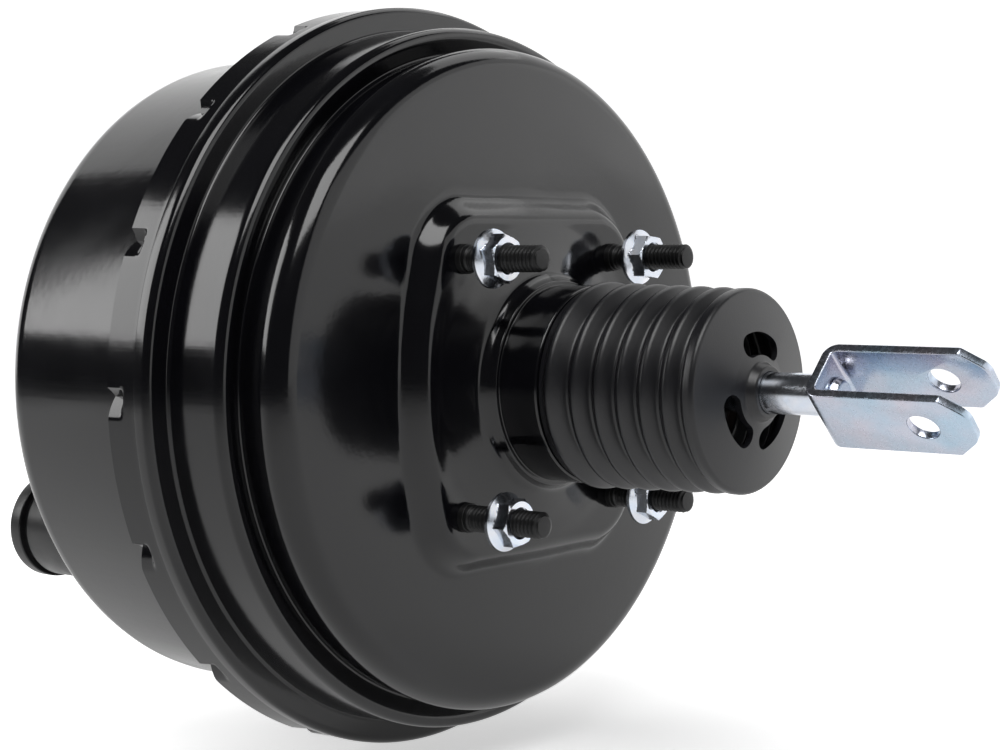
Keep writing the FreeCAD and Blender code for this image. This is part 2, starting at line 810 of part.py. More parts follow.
front_shell = new_body("front_shell")
add_turned(
    front_shell,
    "front_wall",
    [
        ("front_flange_x", "front_flange_radius"),
        ("front_flange_x - shell_wall", "front_flange_radius"),
        ("front_flange_x - shell_wall", "front_wall_radius"),
        ("front_face_x", "front_wall_radius", "front_corner_round"),
        ("front_face_x", "plateau_radius + plateau_slope"),
        ("plateau_x", "plateau_radius", "plateau_round"),
        ("plateau_x", "nose_bore_radius"),
        (NOSE_DEPTH, "nose_bore_radius"),
        (NOSE_DEPTH, NOSE_WALL),
        (PLATEAU_INSIDE, NOSE_WALL),
        (PLATEAU_INSIDE, "plateau_radius - 0.8"),
        (FRONT_INSIDE, "plateau_radius + plateau_slope - 0.3"),
        (FRONT_INSIDE, FRONT_BORE, "front_corner_round - shell_wall"),
        ("front_flange_x", FRONT_BORE),
    ],
)
front_holes = new_sketch(front_shell, "front_holes", "YZ_Plane", FRONT_INSIDE)
circle(front_holes, "check_y", "check_z", "grommet_groove_radius")
for across in ("master_spacing / 2", "-master_spacing / 2"):
    circle(front_holes, across, "0", "master_shank_radius")
cut(front_shell, "front_hole_cut", front_holes, f"{FRONT_INSIDE} - plateau_x")
node(front_shell, "front_shell")

# Plate inside the front face, which carries the master cylinder studs and the return spring.

front_plate = new_body("front_reinforcement_plate")
front_plate_sketch = new_sketch(front_plate, "front_plate_outline", "YZ_Plane", PLATEAU_INSIDE)
circle(front_plate_sketch, "0", "0", "plateau_radius - 2")
circle(front_plate_sketch, "0", "0", f"{NOSE_WALL} + 0.2")
for across in ("master_spacing / 2", "-master_spacing / 2"):
    circle(front_plate_sketch, across, "0", "master_shank_radius")
raise_pad(front_plate, "front_plate_pad", front_plate_sketch, "reinforcement_thickness")
node(front_plate, "front_reinforcement_plate")

SPRING_FLOOR = f"({PLATEAU_INSIDE} + reinforcement_thickness)"
MASTER_END = "(plateau_x - master_stud_length)"

master_studs = []
for side, across in (("far", "master_spacing / 2"), ("near", "-master_spacing / 2")):
    stud = new_body(f"master_stud_{side}")
    add_turned(
        stud,
        f"master_stud_{side}_turned",
        [
            (f"{SPRING_FLOOR} + master_head_height", "0"),
            (MASTER_END, "0"),
            (MASTER_END, "master_stud_radius - stud_chamfer"),
            (f"{MASTER_END} + stud_chamfer", "master_stud_radius"),
            ("plateau_x", "master_stud_radius"),
            ("plateau_x", "master_shank_radius"),
            (SPRING_FLOOR, "master_shank_radius"),
            (SPRING_FLOOR, "master_head_radius"),
            (f"{SPRING_FLOOR} + master_head_height", "master_head_radius", "0.8"),
        ],
    )
    master_studs.append(set_at(stud, across, "0"))
group("master_cylinder_studs", master_studs)

turned_body(
    "front_seal",
    [
        (f"{NOSE_DEPTH} + 1.6", "output_rod_radius + lip_gap"),
        (f"{NOSE_DEPTH} + 1.6", f"{NOSE_WALL} + 1.9"),
        (NOSE_DEPTH, f"{NOSE_WALL} + 1.9"),
        (NOSE_DEPTH, "nose_bore_radius"),
        (f"{NOSE_DEPTH} - front_seal_depth", "nose_bore_radius"),
        (f"{NOSE_DEPTH} - front_seal_depth", "nose_bore_radius - 3"),
        (NOSE_DEPTH, "nose_bore_radius - 3"),
        (NOSE_DEPTH, "output_rod_radius + 3"),
        (f"{NOSE_DEPTH} - 1.8", "output_rod_radius + 1.8"),
        (f"{NOSE_DEPTH} - 1.8", "output_rod_radius + lip_gap"),
    ],
)

# Divider between the two chambers, clamped in the rim, with its seal on the piston's hub.

DIVIDER_RIM = "(rim_x - shell_wall - bead_thickness)"
FRONT_BEAD = f"({DIVIDER_RIM} - divider_wall)"
DIVIDER_FRONT = "(divider_face_x - divider_wall)"
HUB_END = "(divider_face_x - divider_hub_length)"

turned_body(
    "center_plate",
    [
        (DIVIDER_RIM, "front_flange_radius"),
        (DIVIDER_RIM, "bead_inner_radius"),
        ("divider_face_x", "divider_foot_radius"),
        ("divider_face_x", "divider_bore_radius"),
        (HUB_END, "divider_bore_radius"),
        (HUB_END, "divider_bore_radius + divider_wall"),
        (DIVIDER_FRONT, "divider_bore_radius + divider_wall"),
        (DIVIDER_FRONT, "divider_foot_radius + 0.6"),
        (FRONT_BEAD, "bead_inner_radius + 0.6"),
        (FRONT_BEAD, "front_flange_radius"),
    ],
)
turned_body(
    "divider_seal",
    [
        ("divider_face_x - 0.3", "piston_hub_radius + 2.5"),
        ("divider_face_x - 0.3", "divider_bore_radius"),
        (f"{HUB_END} + 0.5", "divider_bore_radius"),
        (f"{HUB_END} + 0.5", "divider_bore_radius - 2"),
        ("divider_face_x - 1.9", "divider_bore_radius - 2"),
        ("divider_face_x - 1.9", "piston_hub_radius + 2.2"),
        (f"{HUB_END} + 0.5", "piston_hub_radius + 1.6"),
        (f"{HUB_END} + 0.5", "piston_hub_radius + lip_gap"),
    ],
)

# Power piston: the moulded valve body that both diaphragm plates push on.

FLANGE_BACK = "(piston_flange_x - piston_flange_thickness)"
STEM_BORE = "(plunger_stem_radius + slide_gap)"
DISC_FACE = "(piston_front_x + reaction_bore_depth)"
SEAT_X = "(valve_seat_x + seat_height)"
SEAT_EDGE = "(plunger_bore_radius + 1)"

valve_body = new_body("valve_body")
add_turned(
    valve_body,
    "valve_body_turned",
    [
        ("piston_end_x", "filter_bore_radius"),
        ("piston_end_x", "piston_neck_radius"),
        ("piston_flange_x", "piston_neck_radius"),
        ("piston_flange_x", "piston_flange_radius"),
        (FLANGE_BACK, "piston_flange_radius"),
        (FLANGE_BACK, "piston_hub_radius"),
        ("piston_step_x", "piston_hub_radius"),
        ("piston_step_x", "piston_nose_radius"),
        ("piston_front_x", "piston_nose_radius"),
        ("piston_front_x", "reaction_bore_radius"),
        (DISC_FACE, "reaction_bore_radius"),
        (DISC_FACE, STEM_BORE),
        ("stem_bore_x", STEM_BORE),
        ("stem_bore_x", "plunger_bore_radius"),
        (SEAT_X, "plunger_bore_radius"),
        (SEAT_X, SEAT_EDGE),
        ("valve_seat_x", SEAT_EDGE),
        ("valve_seat_x", "filter_bore_radius"),
    ],
)
passages = new_sketch(valve_body, "vacuum_passages", "YZ_Plane", SEAT_X)
PASSAGE_Y = "vacuum_passage_circle * cos(vacuum_passage_angle)"
PASSAGE_Z = "vacuum_passage_circle * sin(vacuum_passage_angle)"
for across in (PASSAGE_Y, f"-{PASSAGE_Y}"):
    for up in (PASSAGE_Z, f"-{PASSAGE_Z}"):
        circle(passages, across, up, "vacuum_passage_radius")
cut(valve_body, "vacuum_passage_cut", passages, f"{SEAT_X} - piston_front_x + 1")
KEY_SLOT = "(key_half_width + key_gap)"
key_slot = outline(
    new_sketch(valve_body, "key_slot", "XZ_Plane"),
    [
        ("key_x - key_gap", f"-{KEY_SLOT}"),
        ("key_x + key_thickness + key_gap", f"-{KEY_SLOT}"),
        ("key_x + key_thickness + key_gap", KEY_SLOT),
        ("key_x - key_gap", KEY_SLOT),
    ],
)
cut(valve_body, "key_slot_cut", key_slot, "2 * key_reach", midplane=True)
node(valve_body, "valve_body")

# Diaphragms and the plates behind them, clamped on the piston by pressed rings.

HUB_FIT = "(piston_hub_radius + 0.05)"
NOSE_FIT = "(piston_nose_radius + 0.05)"
REAR_PLATE = f"({FLANGE_BACK} - rubber_wall)"
FRONT_PLATE = "(piston_step_x - rubber_wall)"
ROLL = "(plate_radius + rubber_wall)"
LEG = "(band_radius - shell_wall - 0.2)"

turned_body(
    "rear_diaphragm",
    [
        (FLANGE_BACK, HUB_FIT),
        (FLANGE_BACK, ROLL),
        ("rear_roll_x", ROLL),
        ("rear_roll_x - 4.5", LEG),
        (RIM_FACE, LEG),
        (RIM_FACE, "front_flange_radius"),
        (DIVIDER_RIM, "front_flange_radius"),
        (DIVIDER_RIM, f"{LEG} - rubber_wall"),
        ("rear_roll_x - 5.6", f"{LEG} - rubber_wall"),
        ("rear_roll_x - 1.1", "plate_radius"),
        (REAR_PLATE, "plate_radius"),
        (REAR_PLATE, HUB_FIT),
    ],
)
turned_body(
    "rear_support_plate",
    [
        (REAR_PLATE, HUB_FIT),
        (REAR_PLATE, "plate_radius"),
        (f"{REAR_PLATE} - rear_plate_rim", "plate_radius"),
        (f"{REAR_PLATE} - rear_plate_rim", "plate_radius - plate_wall"),
        (f"{REAR_PLATE} - plate_wall", "plate_radius - plate_wall"),
        (f"{REAR_PLATE} - plate_wall", HUB_FIT),
    ],
)
turned_body(
    "front_diaphragm",
    [
        ("piston_step_x", NOSE_FIT),
        ("piston_step_x", ROLL),
        ("front_roll_x + rubber_wall", ROLL, "2"),
        ("front_roll_x + rubber_wall", f"{FRONT_BORE} - 0.3 - rubber_wall", "2"),
        ("front_flange_x - 0.4", f"{FRONT_BORE} - 0.3 - rubber_wall"),
        (FRONT_BEAD, "bead_inner_radius + 1.2"),
        (FRONT_BEAD, "front_flange_radius"),
        ("front_flange_x", "front_flange_radius"),
        ("front_flange_x", f"{FRONT_BORE} - 0.3"),
        ("front_roll_x", f"{FRONT_BORE} - 0.3", "3.6"),
        ("front_roll_x", "plate_radius", "3.6"),
        (FRONT_PLATE, "plate_radius"),
        (FRONT_PLATE, NOSE_FIT),
    ],
)
turned_body(
    "front_support_plate",
    [
        (FRONT_PLATE, NOSE_FIT),
        (FRONT_PLATE, "plate_radius"),
        (f"{FRONT_PLATE} - front_plate_rim", "plate_radius"),
        (f"{FRONT_PLATE} - front_plate_rim", "plate_radius - plate_wall"),
        (f"{FRONT_PLATE} - plate_wall", "plate_radius - plate_wall"),
        (f"{FRONT_PLATE} - plate_wall", NOSE_FIT),
    ],
)
for end, face, fit in (("rear", REAR_PLATE, HUB_FIT), ("front", FRONT_PLATE, NOSE_FIT)):
    turned_body(
        f"{end}_plate_retainer",
        [
            (f"{face} - plate_wall", fit),
            (f"{face} - plate_wall", f"{fit} + retainer_width"),
            (f"{face} - plate_wall - retainer_thickness", f"{fit} + retainer_width"),
            (f"{face} - plate_wall - retainer_thickness", fit),
        ],
    )
coil(
    "return_spring",
    SPRING_FLOOR,
    f"({FRONT_PLATE} - plate_wall)",
    "return_spring_radius",
    "return_spring_wire",
    "return_spring_turns",
)

# Reaction disc and output rod in the nose of the piston.

DISC_END = f"({DISC_FACE} - reaction_disc_thickness)"
HEAD_END = f"({DISC_END} - output_head_thickness)"

turned_body(
    "reaction_disc",
    [
        (DISC_FACE, "0"),
        (DISC_FACE, "reaction_bore_radius - 0.2", "0.8"),
        (DISC_END, "reaction_bore_radius - 0.2", "0.8"),
        (DISC_END, "0"),
    ],
)
turned_body(
    "output_rod",
    [
        (DISC_END, "0"),
        (DISC_END, "output_head_radius"),
        (HEAD_END, "output_head_radius", "0.6"),
        (HEAD_END, "output_rod_radius"),
        ("output_tip_start_x", "output_rod_radius"),
        ("output_tip_start_x", "output_tip_radius"),
        ("output_tip_x", "output_tip_radius", "output_tip_round"),
        ("output_tip_x", "0"),
    ],
)
turned_body(
    "output_rod_retainer",
    [
        (HEAD_END, "output_rod_radius + 0.7"),
        (HEAD_END, "reaction_bore_radius - 0.05"),
        ("piston_front_x", "reaction_bore_radius - 0.05"),
        ("piston_front_x", "output_rod_radius + 0.7"),
    ],
)

# Plunger with the socket for the input rod's ball, and the key that limits its travel.

PLUNGER_FRONT = f"({DISC_FACE} + plunger_travel + 0.3)"
GROOVE_START = "(key_x - key_gap)"
GROOVE_END = "(key_x + key_thickness + plunger_travel + 0.1)"
CUP_START = "(stem_bore_x + plunger_travel + 0.3)"

plunger_turned = new_body("plunger_turned")
add_turned(
    plunger_turned,
    "plunger_profile",
    [
        (PLUNGER_FRONT, "0"),
        (PLUNGER_FRONT, "plunger_stem_radius", "0.4"),
        (GROOVE_START, "plunger_stem_radius"),
        (GROOVE_START, "plunger_groove_radius"),
        (GROOVE_END, "plunger_groove_radius"),
        (GROOVE_END, "plunger_stem_radius"),
        (CUP_START, "plunger_stem_radius"),
        (CUP_START, "plunger_cup_radius"),
        ("plunger_end_x", "plunger_cup_radius"),
        ("plunger_end_x", "plunger_cup_radius - 1.6"),
        ("plunger_end_x - 1.6", "plunger_cup_radius - 1.9"),
        ("plunger_end_x - 1.6", "cup_mouth_radius"),
        ("ball_x", "cup_mouth_radius"),
        ("ball_x", "0"),
    ],
)


def ball(name, radius):
    """A ball about the joint of plunger and rod."""
    sphere = document.addObject("Part::Sphere", name)
    bind(sphere, "Radius", radius)
    bind(sphere, "Placement.Base.x", "ball_x")
    return sphere


plunger = document.addObject("Part::Cut", "plunger")
plunger.Base = plunger_turned
plunger.Tool = ball("ball_socket", "ball_radius + ball_gap")
node(plunger, "plunger")

stop_key = new_body("stop_key")
key_outline = outline(
    new_sketch(stop_key, "key_outline", "YZ_Plane", "key_x"),
    [
        ("-key_reach", "key_half_width", "1.5"),
        ("key_reach", "key_half_width", "3"),
        ("key_reach", "-key_half_width", "3"),
        ("-key_reach", "-key_half_width", "1.5"),
        ("-key_reach", "-key_slot_half"),
        ("key_slot_half", "-key_slot_half", "key_slot_half - 0.05"),
        ("key_slot_half", "key_slot_half", "key_slot_half - 0.05"),
        ("-key_reach", "key_slot_half"),
    ],
)
raise_pad(stop_key, "key_pad", key_outline, "key_thickness")
node(stop_key, "stop_key")

# Input rod: the ball in the plunger, the shaft, and a spigot headed over inside the clevis.

ROD_SHOULDER = "(clevis_base_x - 0.1)"
SPIGOT_END = "(clevis_base_x + clevis_strap + 0.1)"

rod_turned = new_body("rod_turned")
add_turned(
    rod_turned,
    "rod_profile",
    [
        ("ball_x", "0"),
        ("ball_x", "ball_neck_radius"),
        ("ball_x + ball_neck_length - 3", "ball_neck_radius"),
        ("ball_x + ball_neck_length", "rod_radius"),
        (ROD_SHOULDER, "rod_radius"),
        (ROD_SHOULDER, "rod_spigot_radius"),
        (SPIGOT_END, "rod_spigot_radius"),
        (SPIGOT_END, "rod_head_radius", "0.5"),
        (f"{SPIGOT_END} + rod_head_height", "rod_head_radius - 1.4", "1"),
        (f"{SPIGOT_END} + rod_head_height", "0"),
    ],
)
input_rod = document.addObject("Part::Fuse", "input_rod")
input_rod.Base = rod_turned
input_rod.Tool = ball("rod_ball", "ball_radius")
node(input_rod, "input_rod")

turned_body(
    "spring_seat",
    [
        ("spring_seat_x", "rod_radius"),
        ("spring_seat_x", "spring_seat_radius"),
        ("spring_seat_x + spring_seat_thickness", "spring_seat_radius"),
        ("spring_seat_x + spring_seat_thickness", "rod_radius"),
    ],
)

# Clevis: a strap bent into a fork, turned about the rod.

FORK_HALF = "(clevis_outside / 2)"
FORK_INNER = "(clevis_outside / 2 - clevis_strap)"
FORK_FLOOR = "(clevis_base_x + clevis_strap)"

fork = new_body("fork")
fork_profile = outline(
    new_sketch(fork, "fork_profile"),
    [
        ("clevis_base_x", f"-{FORK_HALF}", "clevis_bend"),
        ("clevis_base_x", FORK_HALF, "clevis_bend"),
        ("clevis_end_x", FORK_HALF),
        ("clevis_end_x", FORK_INNER),
        (FORK_FLOOR, FORK_INNER, "clevis_bend - clevis_strap"),
        (FORK_FLOOR, f"-{FORK_INNER}", "clevis_bend - clevis_strap"),
        ("clevis_end_x", f"-{FORK_INNER}"),
        ("clevis_end_x", f"-{FORK_HALF}"),
    ],
)
raise_pad(fork, "fork_pad", fork_profile, "clevis_width", midplane=True)
rod_hole = circle(
    new_sketch(fork, "rod_hole", "YZ_Plane", FORK_FLOOR), "0", "0", "rod_spigot_radius + turn_gap"
)
cut(fork, "rod_hole_cut", rod_hole, "clevis_strap")
ears = new_body("ears")
ear_profile = outline(
    new_sketch(ears, "ear_profile", "XZ_Plane"),
    [
        ("clevis_base_x", "-clevis_width / 2"),
        ("clevis_corner_x", "-clevis_width / 2", "clevis_corner_round"),
        ("clevis_end_x", "-clevis_tip_half", "clevis_corner_round"),
        ("clevis_end_x", "clevis_tip_half", "clevis_corner_round"),
        ("clevis_corner_x", "clevis_width / 2", "clevis_corner_round"),
        ("clevis_base_x", "clevis_width / 2"),
    ],
)
circle(ear_profile, "clevis_pin_x", "0", "clevis_pin_radius")
raise_pad(ears, "ear_pad", ear_profile, "clevis_outside", midplane=True)
clevis = document.addObject("Part::MultiCommon", "clevis")
clevis.Shapes = [fork, ears]
clevis.Placement = Placement(Vector(), Rotation(Vector(1, 0, 0), number("clevis_angle")))
bind(clevis, "Placement.Rotation.Angle", "clevis_angle")
node(clevis, "clevis")

# Control valve: the rubber poppet, what holds it, its spring and the input rod's return spring.

POPPET_X = f"({SEAT_X} + 0.6)"
POPPET_BACK = f"({POPPET_X} + poppet_face)"
VALVE_BORE = "(filter_bore_radius - 0.1)"
RETAINER_X = "(poppet_bead_x + 2)"
RETAINER_HOLE = "(rod_spring_radius - 1.4)"

turned_body(
    "poppet_valve",
    [
        (POPPET_X, "poppet_inner_radius"),
        (POPPET_X, "poppet_outer_radius"),
        ("poppet_bead_x", "poppet_outer_radius"),
        ("poppet_bead_x", VALVE_BORE),
        (RETAINER_X, VALVE_BORE),
        (RETAINER_X, "poppet_outer_radius - poppet_wall"),
        (POPPET_BACK, "poppet_outer_radius - poppet_wall"),
        (POPPET_BACK, "poppet_inner_radius"),
    ],
)
turned_body(
    "poppet_retainer",
    [
        (RETAINER_X, RETAINER_HOLE),
        (RETAINER_X, VALVE_BORE),
        (f"{RETAINER_X} + 2.6", VALVE_BORE),
        (f"{RETAINER_X} + 2.6", f"{VALVE_BORE} - poppet_wall"),
        (f"{RETAINER_X} + poppet_wall", f"{VALVE_BORE} - poppet_wall"),
        (f"{RETAINER_X} + poppet_wall", RETAINER_HOLE),
    ],
)
coil(
    "poppet_spring",
    POPPET_BACK,
    RETAINER_X,
    "poppet_spring_radius",
    "poppet_spring_wire",
    "poppet_spring_turns",
)
coil(
    "rod_return_spring",
    f"({RETAINER_X} + poppet_wall)",
    "spring_seat_x",
    "rod_spring_radius",
    "rod_spring_wire",
    "rod_spring_turns",
)

FILTER_X = f"({RETAINER_X} + 2.8)"
SILENCER_X = "(piston_end_x - 0.3)"

turned_body(
    "air_filter",
    [
        (FILTER_X, "filter_inner_radius"),
        (FILTER_X, VALVE_BORE),
        (f"{FILTER_X} + filter_length", VALVE_BORE),
        (f"{FILTER_X} + filter_length", "filter_inner_radius"),
    ],
)
turned_body(
    "silencer",
    [
        (SILENCER_X, "silencer_inner_radius"),
        (SILENCER_X, VALVE_BORE),
        (f"{SILENCER_X} - silencer_length", VALVE_BORE),
        (f"{SILENCER_X} - silencer_length", "silencer_inner_radius"),
    ],
)

# Vacuum check valve in its grommet, in the lower near corner of the front face.

LIP_END = f"({FRONT_INSIDE} + grommet_lip_thickness)"
GROMMET_OUT = "(front_face_x - grommet_flange_thickness)"
CUP_FLOOR = f"({GROMMET_OUT} - check_cup_wall)"
CUP_BORE = "(check_cup_radius - check_cup_wall)"
GROOVE_FLOOR = "(check_cup_radius - check_groove_depth)"
BARB_START = f"({LIP_END} + check_barb_length)"

grommet = turned_body(
    "check_valve_grommet",
    [
        (LIP_END, "check_stem_radius"),
        (LIP_END, "grommet_lip_radius", "1"),
        (FRONT_INSIDE, "grommet_lip_radius"),
        (FRONT_INSIDE, "grommet_groove_radius"),
        ("front_face_x", "grommet_groove_radius"),
        ("front_face_x", "grommet_flange_radius"),
        (GROMMET_OUT, "grommet_flange_radius", "1"),
        (GROMMET_OUT, "check_stem_radius"),
    ],
)
set_at(grommet, "check_y", "check_z")

check_body = new_body("check_valve_body")
add_turned(
    check_body,
    "check_body_turned",
    [
        (BARB_START, "check_port_radius"),
        (BARB_START, "check_stem_radius - 0.6"),
        (LIP_END, "check_barb_radius"),
        (LIP_END, "check_stem_radius"),
        (GROMMET_OUT, "check_stem_radius"),
        (GROMMET_OUT, "check_cup_radius", "1.5"),
        ("check_cup_end_x + check_groove_width", "check_cup_radius"),
        ("check_cup_end_x + check_groove_width", GROOVE_FLOOR),
        ("check_cup_end_x", GROOVE_FLOOR),
        ("check_cup_end_x", CUP_BORE),
        (CUP_FLOOR, CUP_BORE),
        (CUP_FLOOR, "check_port_radius"),
    ],
)
nipple = new_sketch(check_body, "nipple_section", "XZ_Plane")
bind(nipple, "AttachmentOffset.Base.x", "nipple_x")
barb_corners = []
for barb in range(2):
    top = f"nipple_end_z - {barb} * nipple_barb_length"
    barb_corners += [
        (f"nipple_radius - 0.4 + {barb} * 0.3", top),
        ("nipple_barb_radius", f"{top} - nipple_barb_length + 0.5"),
        ("nipple_barb_radius", f"{top} - nipple_barb_length"),
    ]
outline(
    nipple,
    [("0", "nipple_end_z")]
    + barb_corners
    + [
        ("nipple_radius", "nipple_end_z - 2 * nipple_barb_length"),
        ("nipple_radius", "check_cup_radius - 1"),
        ("0", "check_cup_radius - 1"),
    ],
)
spout = check_body.newObject("PartDesign::Revolution", "nipple_turned")
spout.Profile = nipple
spout.ReferenceAxis = (nipple, ["V_Axis"])
spout.Angle = 360
nipple_bore = circle(
    new_sketch(check_body, "nipple_bore", "XY_Plane", "nipple_end_z"), "nipple_x", "0", "nipple_bore_radius"
)
cut(check_body, "nipple_bore_cut", nipple_bore, f"nipple_end_z - {CUP_BORE} + 1")
node(set_at(check_body, "check_y", "check_z"), "check_valve_body")

cover = turned_body(
    "check_valve_cover",
    [
        ("check_cup_end_x", "check_cover_radius", "0.6"),
        ("check_cover_x", "check_cover_radius", "1.4"),
        ("check_cover_x", "0"),
        ("check_cover_x + 2", "0"),
        ("check_cover_x + 2", "check_pin_radius + 0.1"),
        ("check_cup_end_x + check_guide_length", "check_pin_radius + 0.1"),
        ("check_cup_end_x + check_guide_length", "check_guide_radius"),
        ("check_cup_end_x", "check_guide_radius"),
        ("check_cup_end_x", f"{CUP_BORE} - 2"),
        ("check_cup_end_x + check_spigot_length", f"{CUP_BORE} - 2"),
        ("check_cup_end_x + check_spigot_length", CUP_BORE),
        ("check_cup_end_x", CUP_BORE),
    ],
)
set_at(cover, "check_y", "check_z")

CHECK_DISC = f"({CUP_FLOOR} - check_seat_gap)"
DISC_BACK = f"({CHECK_DISC} - check_disc_thickness)"

check_poppet = turned_body(
    "check_valve_poppet",
    [
        (CHECK_DISC, "0"),
        (CHECK_DISC, "check_disc_radius", "0.5"),
        (DISC_BACK, "check_disc_radius", "0.5"),
        (DISC_BACK, "check_pin_radius"),
        (f"{DISC_BACK} - check_pin_length", "check_pin_radius", "0.6"),
        (f"{DISC_BACK} - check_pin_length", "0"),
    ],
)
set_at(check_poppet, "check_y", "check_z")
check_spring = coil(
    "check_valve_spring",
    "check_cup_end_x",
    DISC_BACK,
    "check_spring_radius",
    "check_spring_wire",
    "check_spring_turns",
)
set_at(check_spring, "check_y", "check_z")

# Dust boot: a collar on the neck, six folds, an end band and a vented end gripping the rod.

FOLD_SHIFT = "boot_wall * 1.45"


def fold_x(steps):
    """Where a fold of the boot lies; the folds draw closer towards the rod."""
    return f"boot_crest_x + {steps} * boot_pitch - {steps * steps} * boot_pitch_loss"


boot = new_body("boot")
boot_outside = [
    ("boot_start_x", "boot_seat_radius"),
    ("boot_start_x", "boot_seat_radius + boot_collar", "0.6"),
    ("boot_crest_x - 2.2", "boot_seat_radius + boot_collar", "0.6"),
]
boot_inside = []
for crest in range(6):
    crest_radius = f"boot_crest_radius - {crest} * boot_crest_taper"
    boot_outside.append((fold_x(crest), crest_radius, "boot_crest_round"))
    boot_outside.append((fold_x(crest + 0.5), "boot_valley_radius", "boot_valley_round"))
    if crest > 0:
        boot_inside.append((fold_x(crest), f"{crest_radius} - {FOLD_SHIFT}", "0.5"))
    valley_back = (f"boot_valley_radius - {FOLD_SHIFT}", "boot_valley_round + boot_wall / 2")
    boot_inside.append((fold_x(crest + 0.5), *valley_back))
boot_outside += [
    ("boot_rim_x - boot_rim_length", "boot_rim_radius", "0.8"),
    ("boot_rim_x", "boot_rim_radius", "boot_rim_round"),
    ("boot_hub_x", "boot_hub_radius", "0.8"),
    ("boot_lip_x", "rod_radius + boot_lip_wall", "0.5"),
    ("boot_lip_x", "rod_radius + boot_lip_gap"),
    ("boot_hub_x - boot_wall", "rod_radius + boot_lip_gap"),
    ("boot_rim_x - boot_wall - 0.3", "boot_rim_radius - boot_wall - 0.4", "0.6"),
    ("boot_rim_x - boot_rim_length + 0.6", "boot_rim_radius - boot_wall - 0.4", "0.4"),
]
add_turned(
    boot,
    "boot_turned",
    boot_outside
    + boot_inside[::-1]
    + [("neck_end_x + 0.15", "boot_valley_radius + 0.4"), ("neck_end_x + 0.15", "boot_seat_radius")],
)
vents = new_sketch(boot, "boot_vents", "YZ_Plane", "boot_lip_x")
for middle in ("vent_angle_upper", "vent_angle_near", "vent_angle_far"):
    rim_angles = [f"({middle} + {side} * vent_half_angle)" for side in (1, 0, -1)]
    outline(
        vents,
        [
            (f"vent_outer_radius * cos({angle})", f"vent_outer_radius * sin({angle})", "vent_round")
            for angle in rim_angles
        ]
        + [
            (f"vent_inner_radius * cos({angle})", f"vent_inner_radius * sin({angle})", "vent_round * 0.6")
            for angle in rim_angles[::-1]
        ],
    )
cut(boot, "boot_vent_cut", vents, "boot_lip_x - boot_rim_x + boot_rim_length")
node(boot, "boot")


def write_parts():
    """Checks every object of the document and writes each sub-part to its own file."""
    document.recompute()
    for thing in document.Objects:
        if "Invalid" in thing.State or "Error" in thing.State:
            raise ValueError(f"{thing.Label} did not compute: {thing.State}")
    os.makedirs("parts", exist_ok=True)
    for part in node_objects:
        shape = part.Shape
        if shape.isNull() or not shape.isValid():
            raise ValueError(f"{part.Label} has no valid shape")
        box = shape.BoundBox
        print(
            f"{part.Label}: {len(shape.Solids)} solids, {shape.Volume:.1f} mm3, "
            f"x {box.XMin:.2f} to {box.XMax:.2f}, radius {max(box.YMax, box.ZMax):.2f}"
        )
        shape.exportStep(f"parts/{part.Label}.step")


write_parts()
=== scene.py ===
# %% [markdown]
# Brake booster, seen from the pedal side. The booster is two pressed steel shells crimped together,
# a ribbed rubber boot over the valve body, and a plated rod with a fork for the brake pedal.
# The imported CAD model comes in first. It is in metres, with X along the booster's axis towards the
# pedal and Z up, and every piece made here goes straight to its place in that frame.

# %% Load the frame
import math

import bmesh
import bpy
from mathutils import Matrix, Vector


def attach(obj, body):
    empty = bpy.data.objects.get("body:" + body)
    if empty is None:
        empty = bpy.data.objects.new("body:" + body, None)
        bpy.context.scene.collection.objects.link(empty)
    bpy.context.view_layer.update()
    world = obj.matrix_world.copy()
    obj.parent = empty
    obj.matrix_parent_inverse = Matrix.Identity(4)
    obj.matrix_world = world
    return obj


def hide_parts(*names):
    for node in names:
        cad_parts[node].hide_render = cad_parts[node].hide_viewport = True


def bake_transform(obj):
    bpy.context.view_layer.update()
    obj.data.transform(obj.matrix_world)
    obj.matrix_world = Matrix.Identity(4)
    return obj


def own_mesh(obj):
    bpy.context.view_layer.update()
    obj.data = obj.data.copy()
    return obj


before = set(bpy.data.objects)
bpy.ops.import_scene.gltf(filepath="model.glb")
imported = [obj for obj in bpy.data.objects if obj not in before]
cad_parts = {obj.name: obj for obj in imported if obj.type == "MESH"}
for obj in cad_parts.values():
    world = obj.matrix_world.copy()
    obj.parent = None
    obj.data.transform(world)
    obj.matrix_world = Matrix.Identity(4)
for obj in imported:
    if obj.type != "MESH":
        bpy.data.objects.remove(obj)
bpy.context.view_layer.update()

print("CAD nodes:", len(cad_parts))

# %% [markdown]
# The photograph was matched with a camera a little over half a metre away, level with the booster and to
# one side. A long lens keeps the round shells from bulging. The frame is 1000 by 750, so the
# focal length in pixels gives the lens on a sensor 36 mm wide.

# %% Camera
MM = 0.001
FOCAL_PIXELS = 1974.3
FRAME_WIDTH = 1000
SENSOR_MM = 36.0
CAMERA_AT = Vector((379.0, -473.3, 39.8)) * MM
CAMERA_YAW = math.radians(39.913)
CAMERA_DOWN = math.radians(3.542)
CAMERA_ROLL = math.radians(-0.430)

look = Vector((
    -math.sin(CAMERA_YAW) * math.cos(CAMERA_DOWN),
    math.cos(CAMERA_YAW) * math.cos(CAMERA_DOWN),
    -math.sin(CAMERA_DOWN),
))
level_right = look.cross(Vector((0, 0, 1))).normalized()
level_up = level_right.cross(look)
right = level_right * math.cos(CAMERA_ROLL) + level_up * math.sin(CAMERA_ROLL)
up = level_up * math.cos(CAMERA_ROLL) - level_right * math.sin(CAMERA_ROLL)

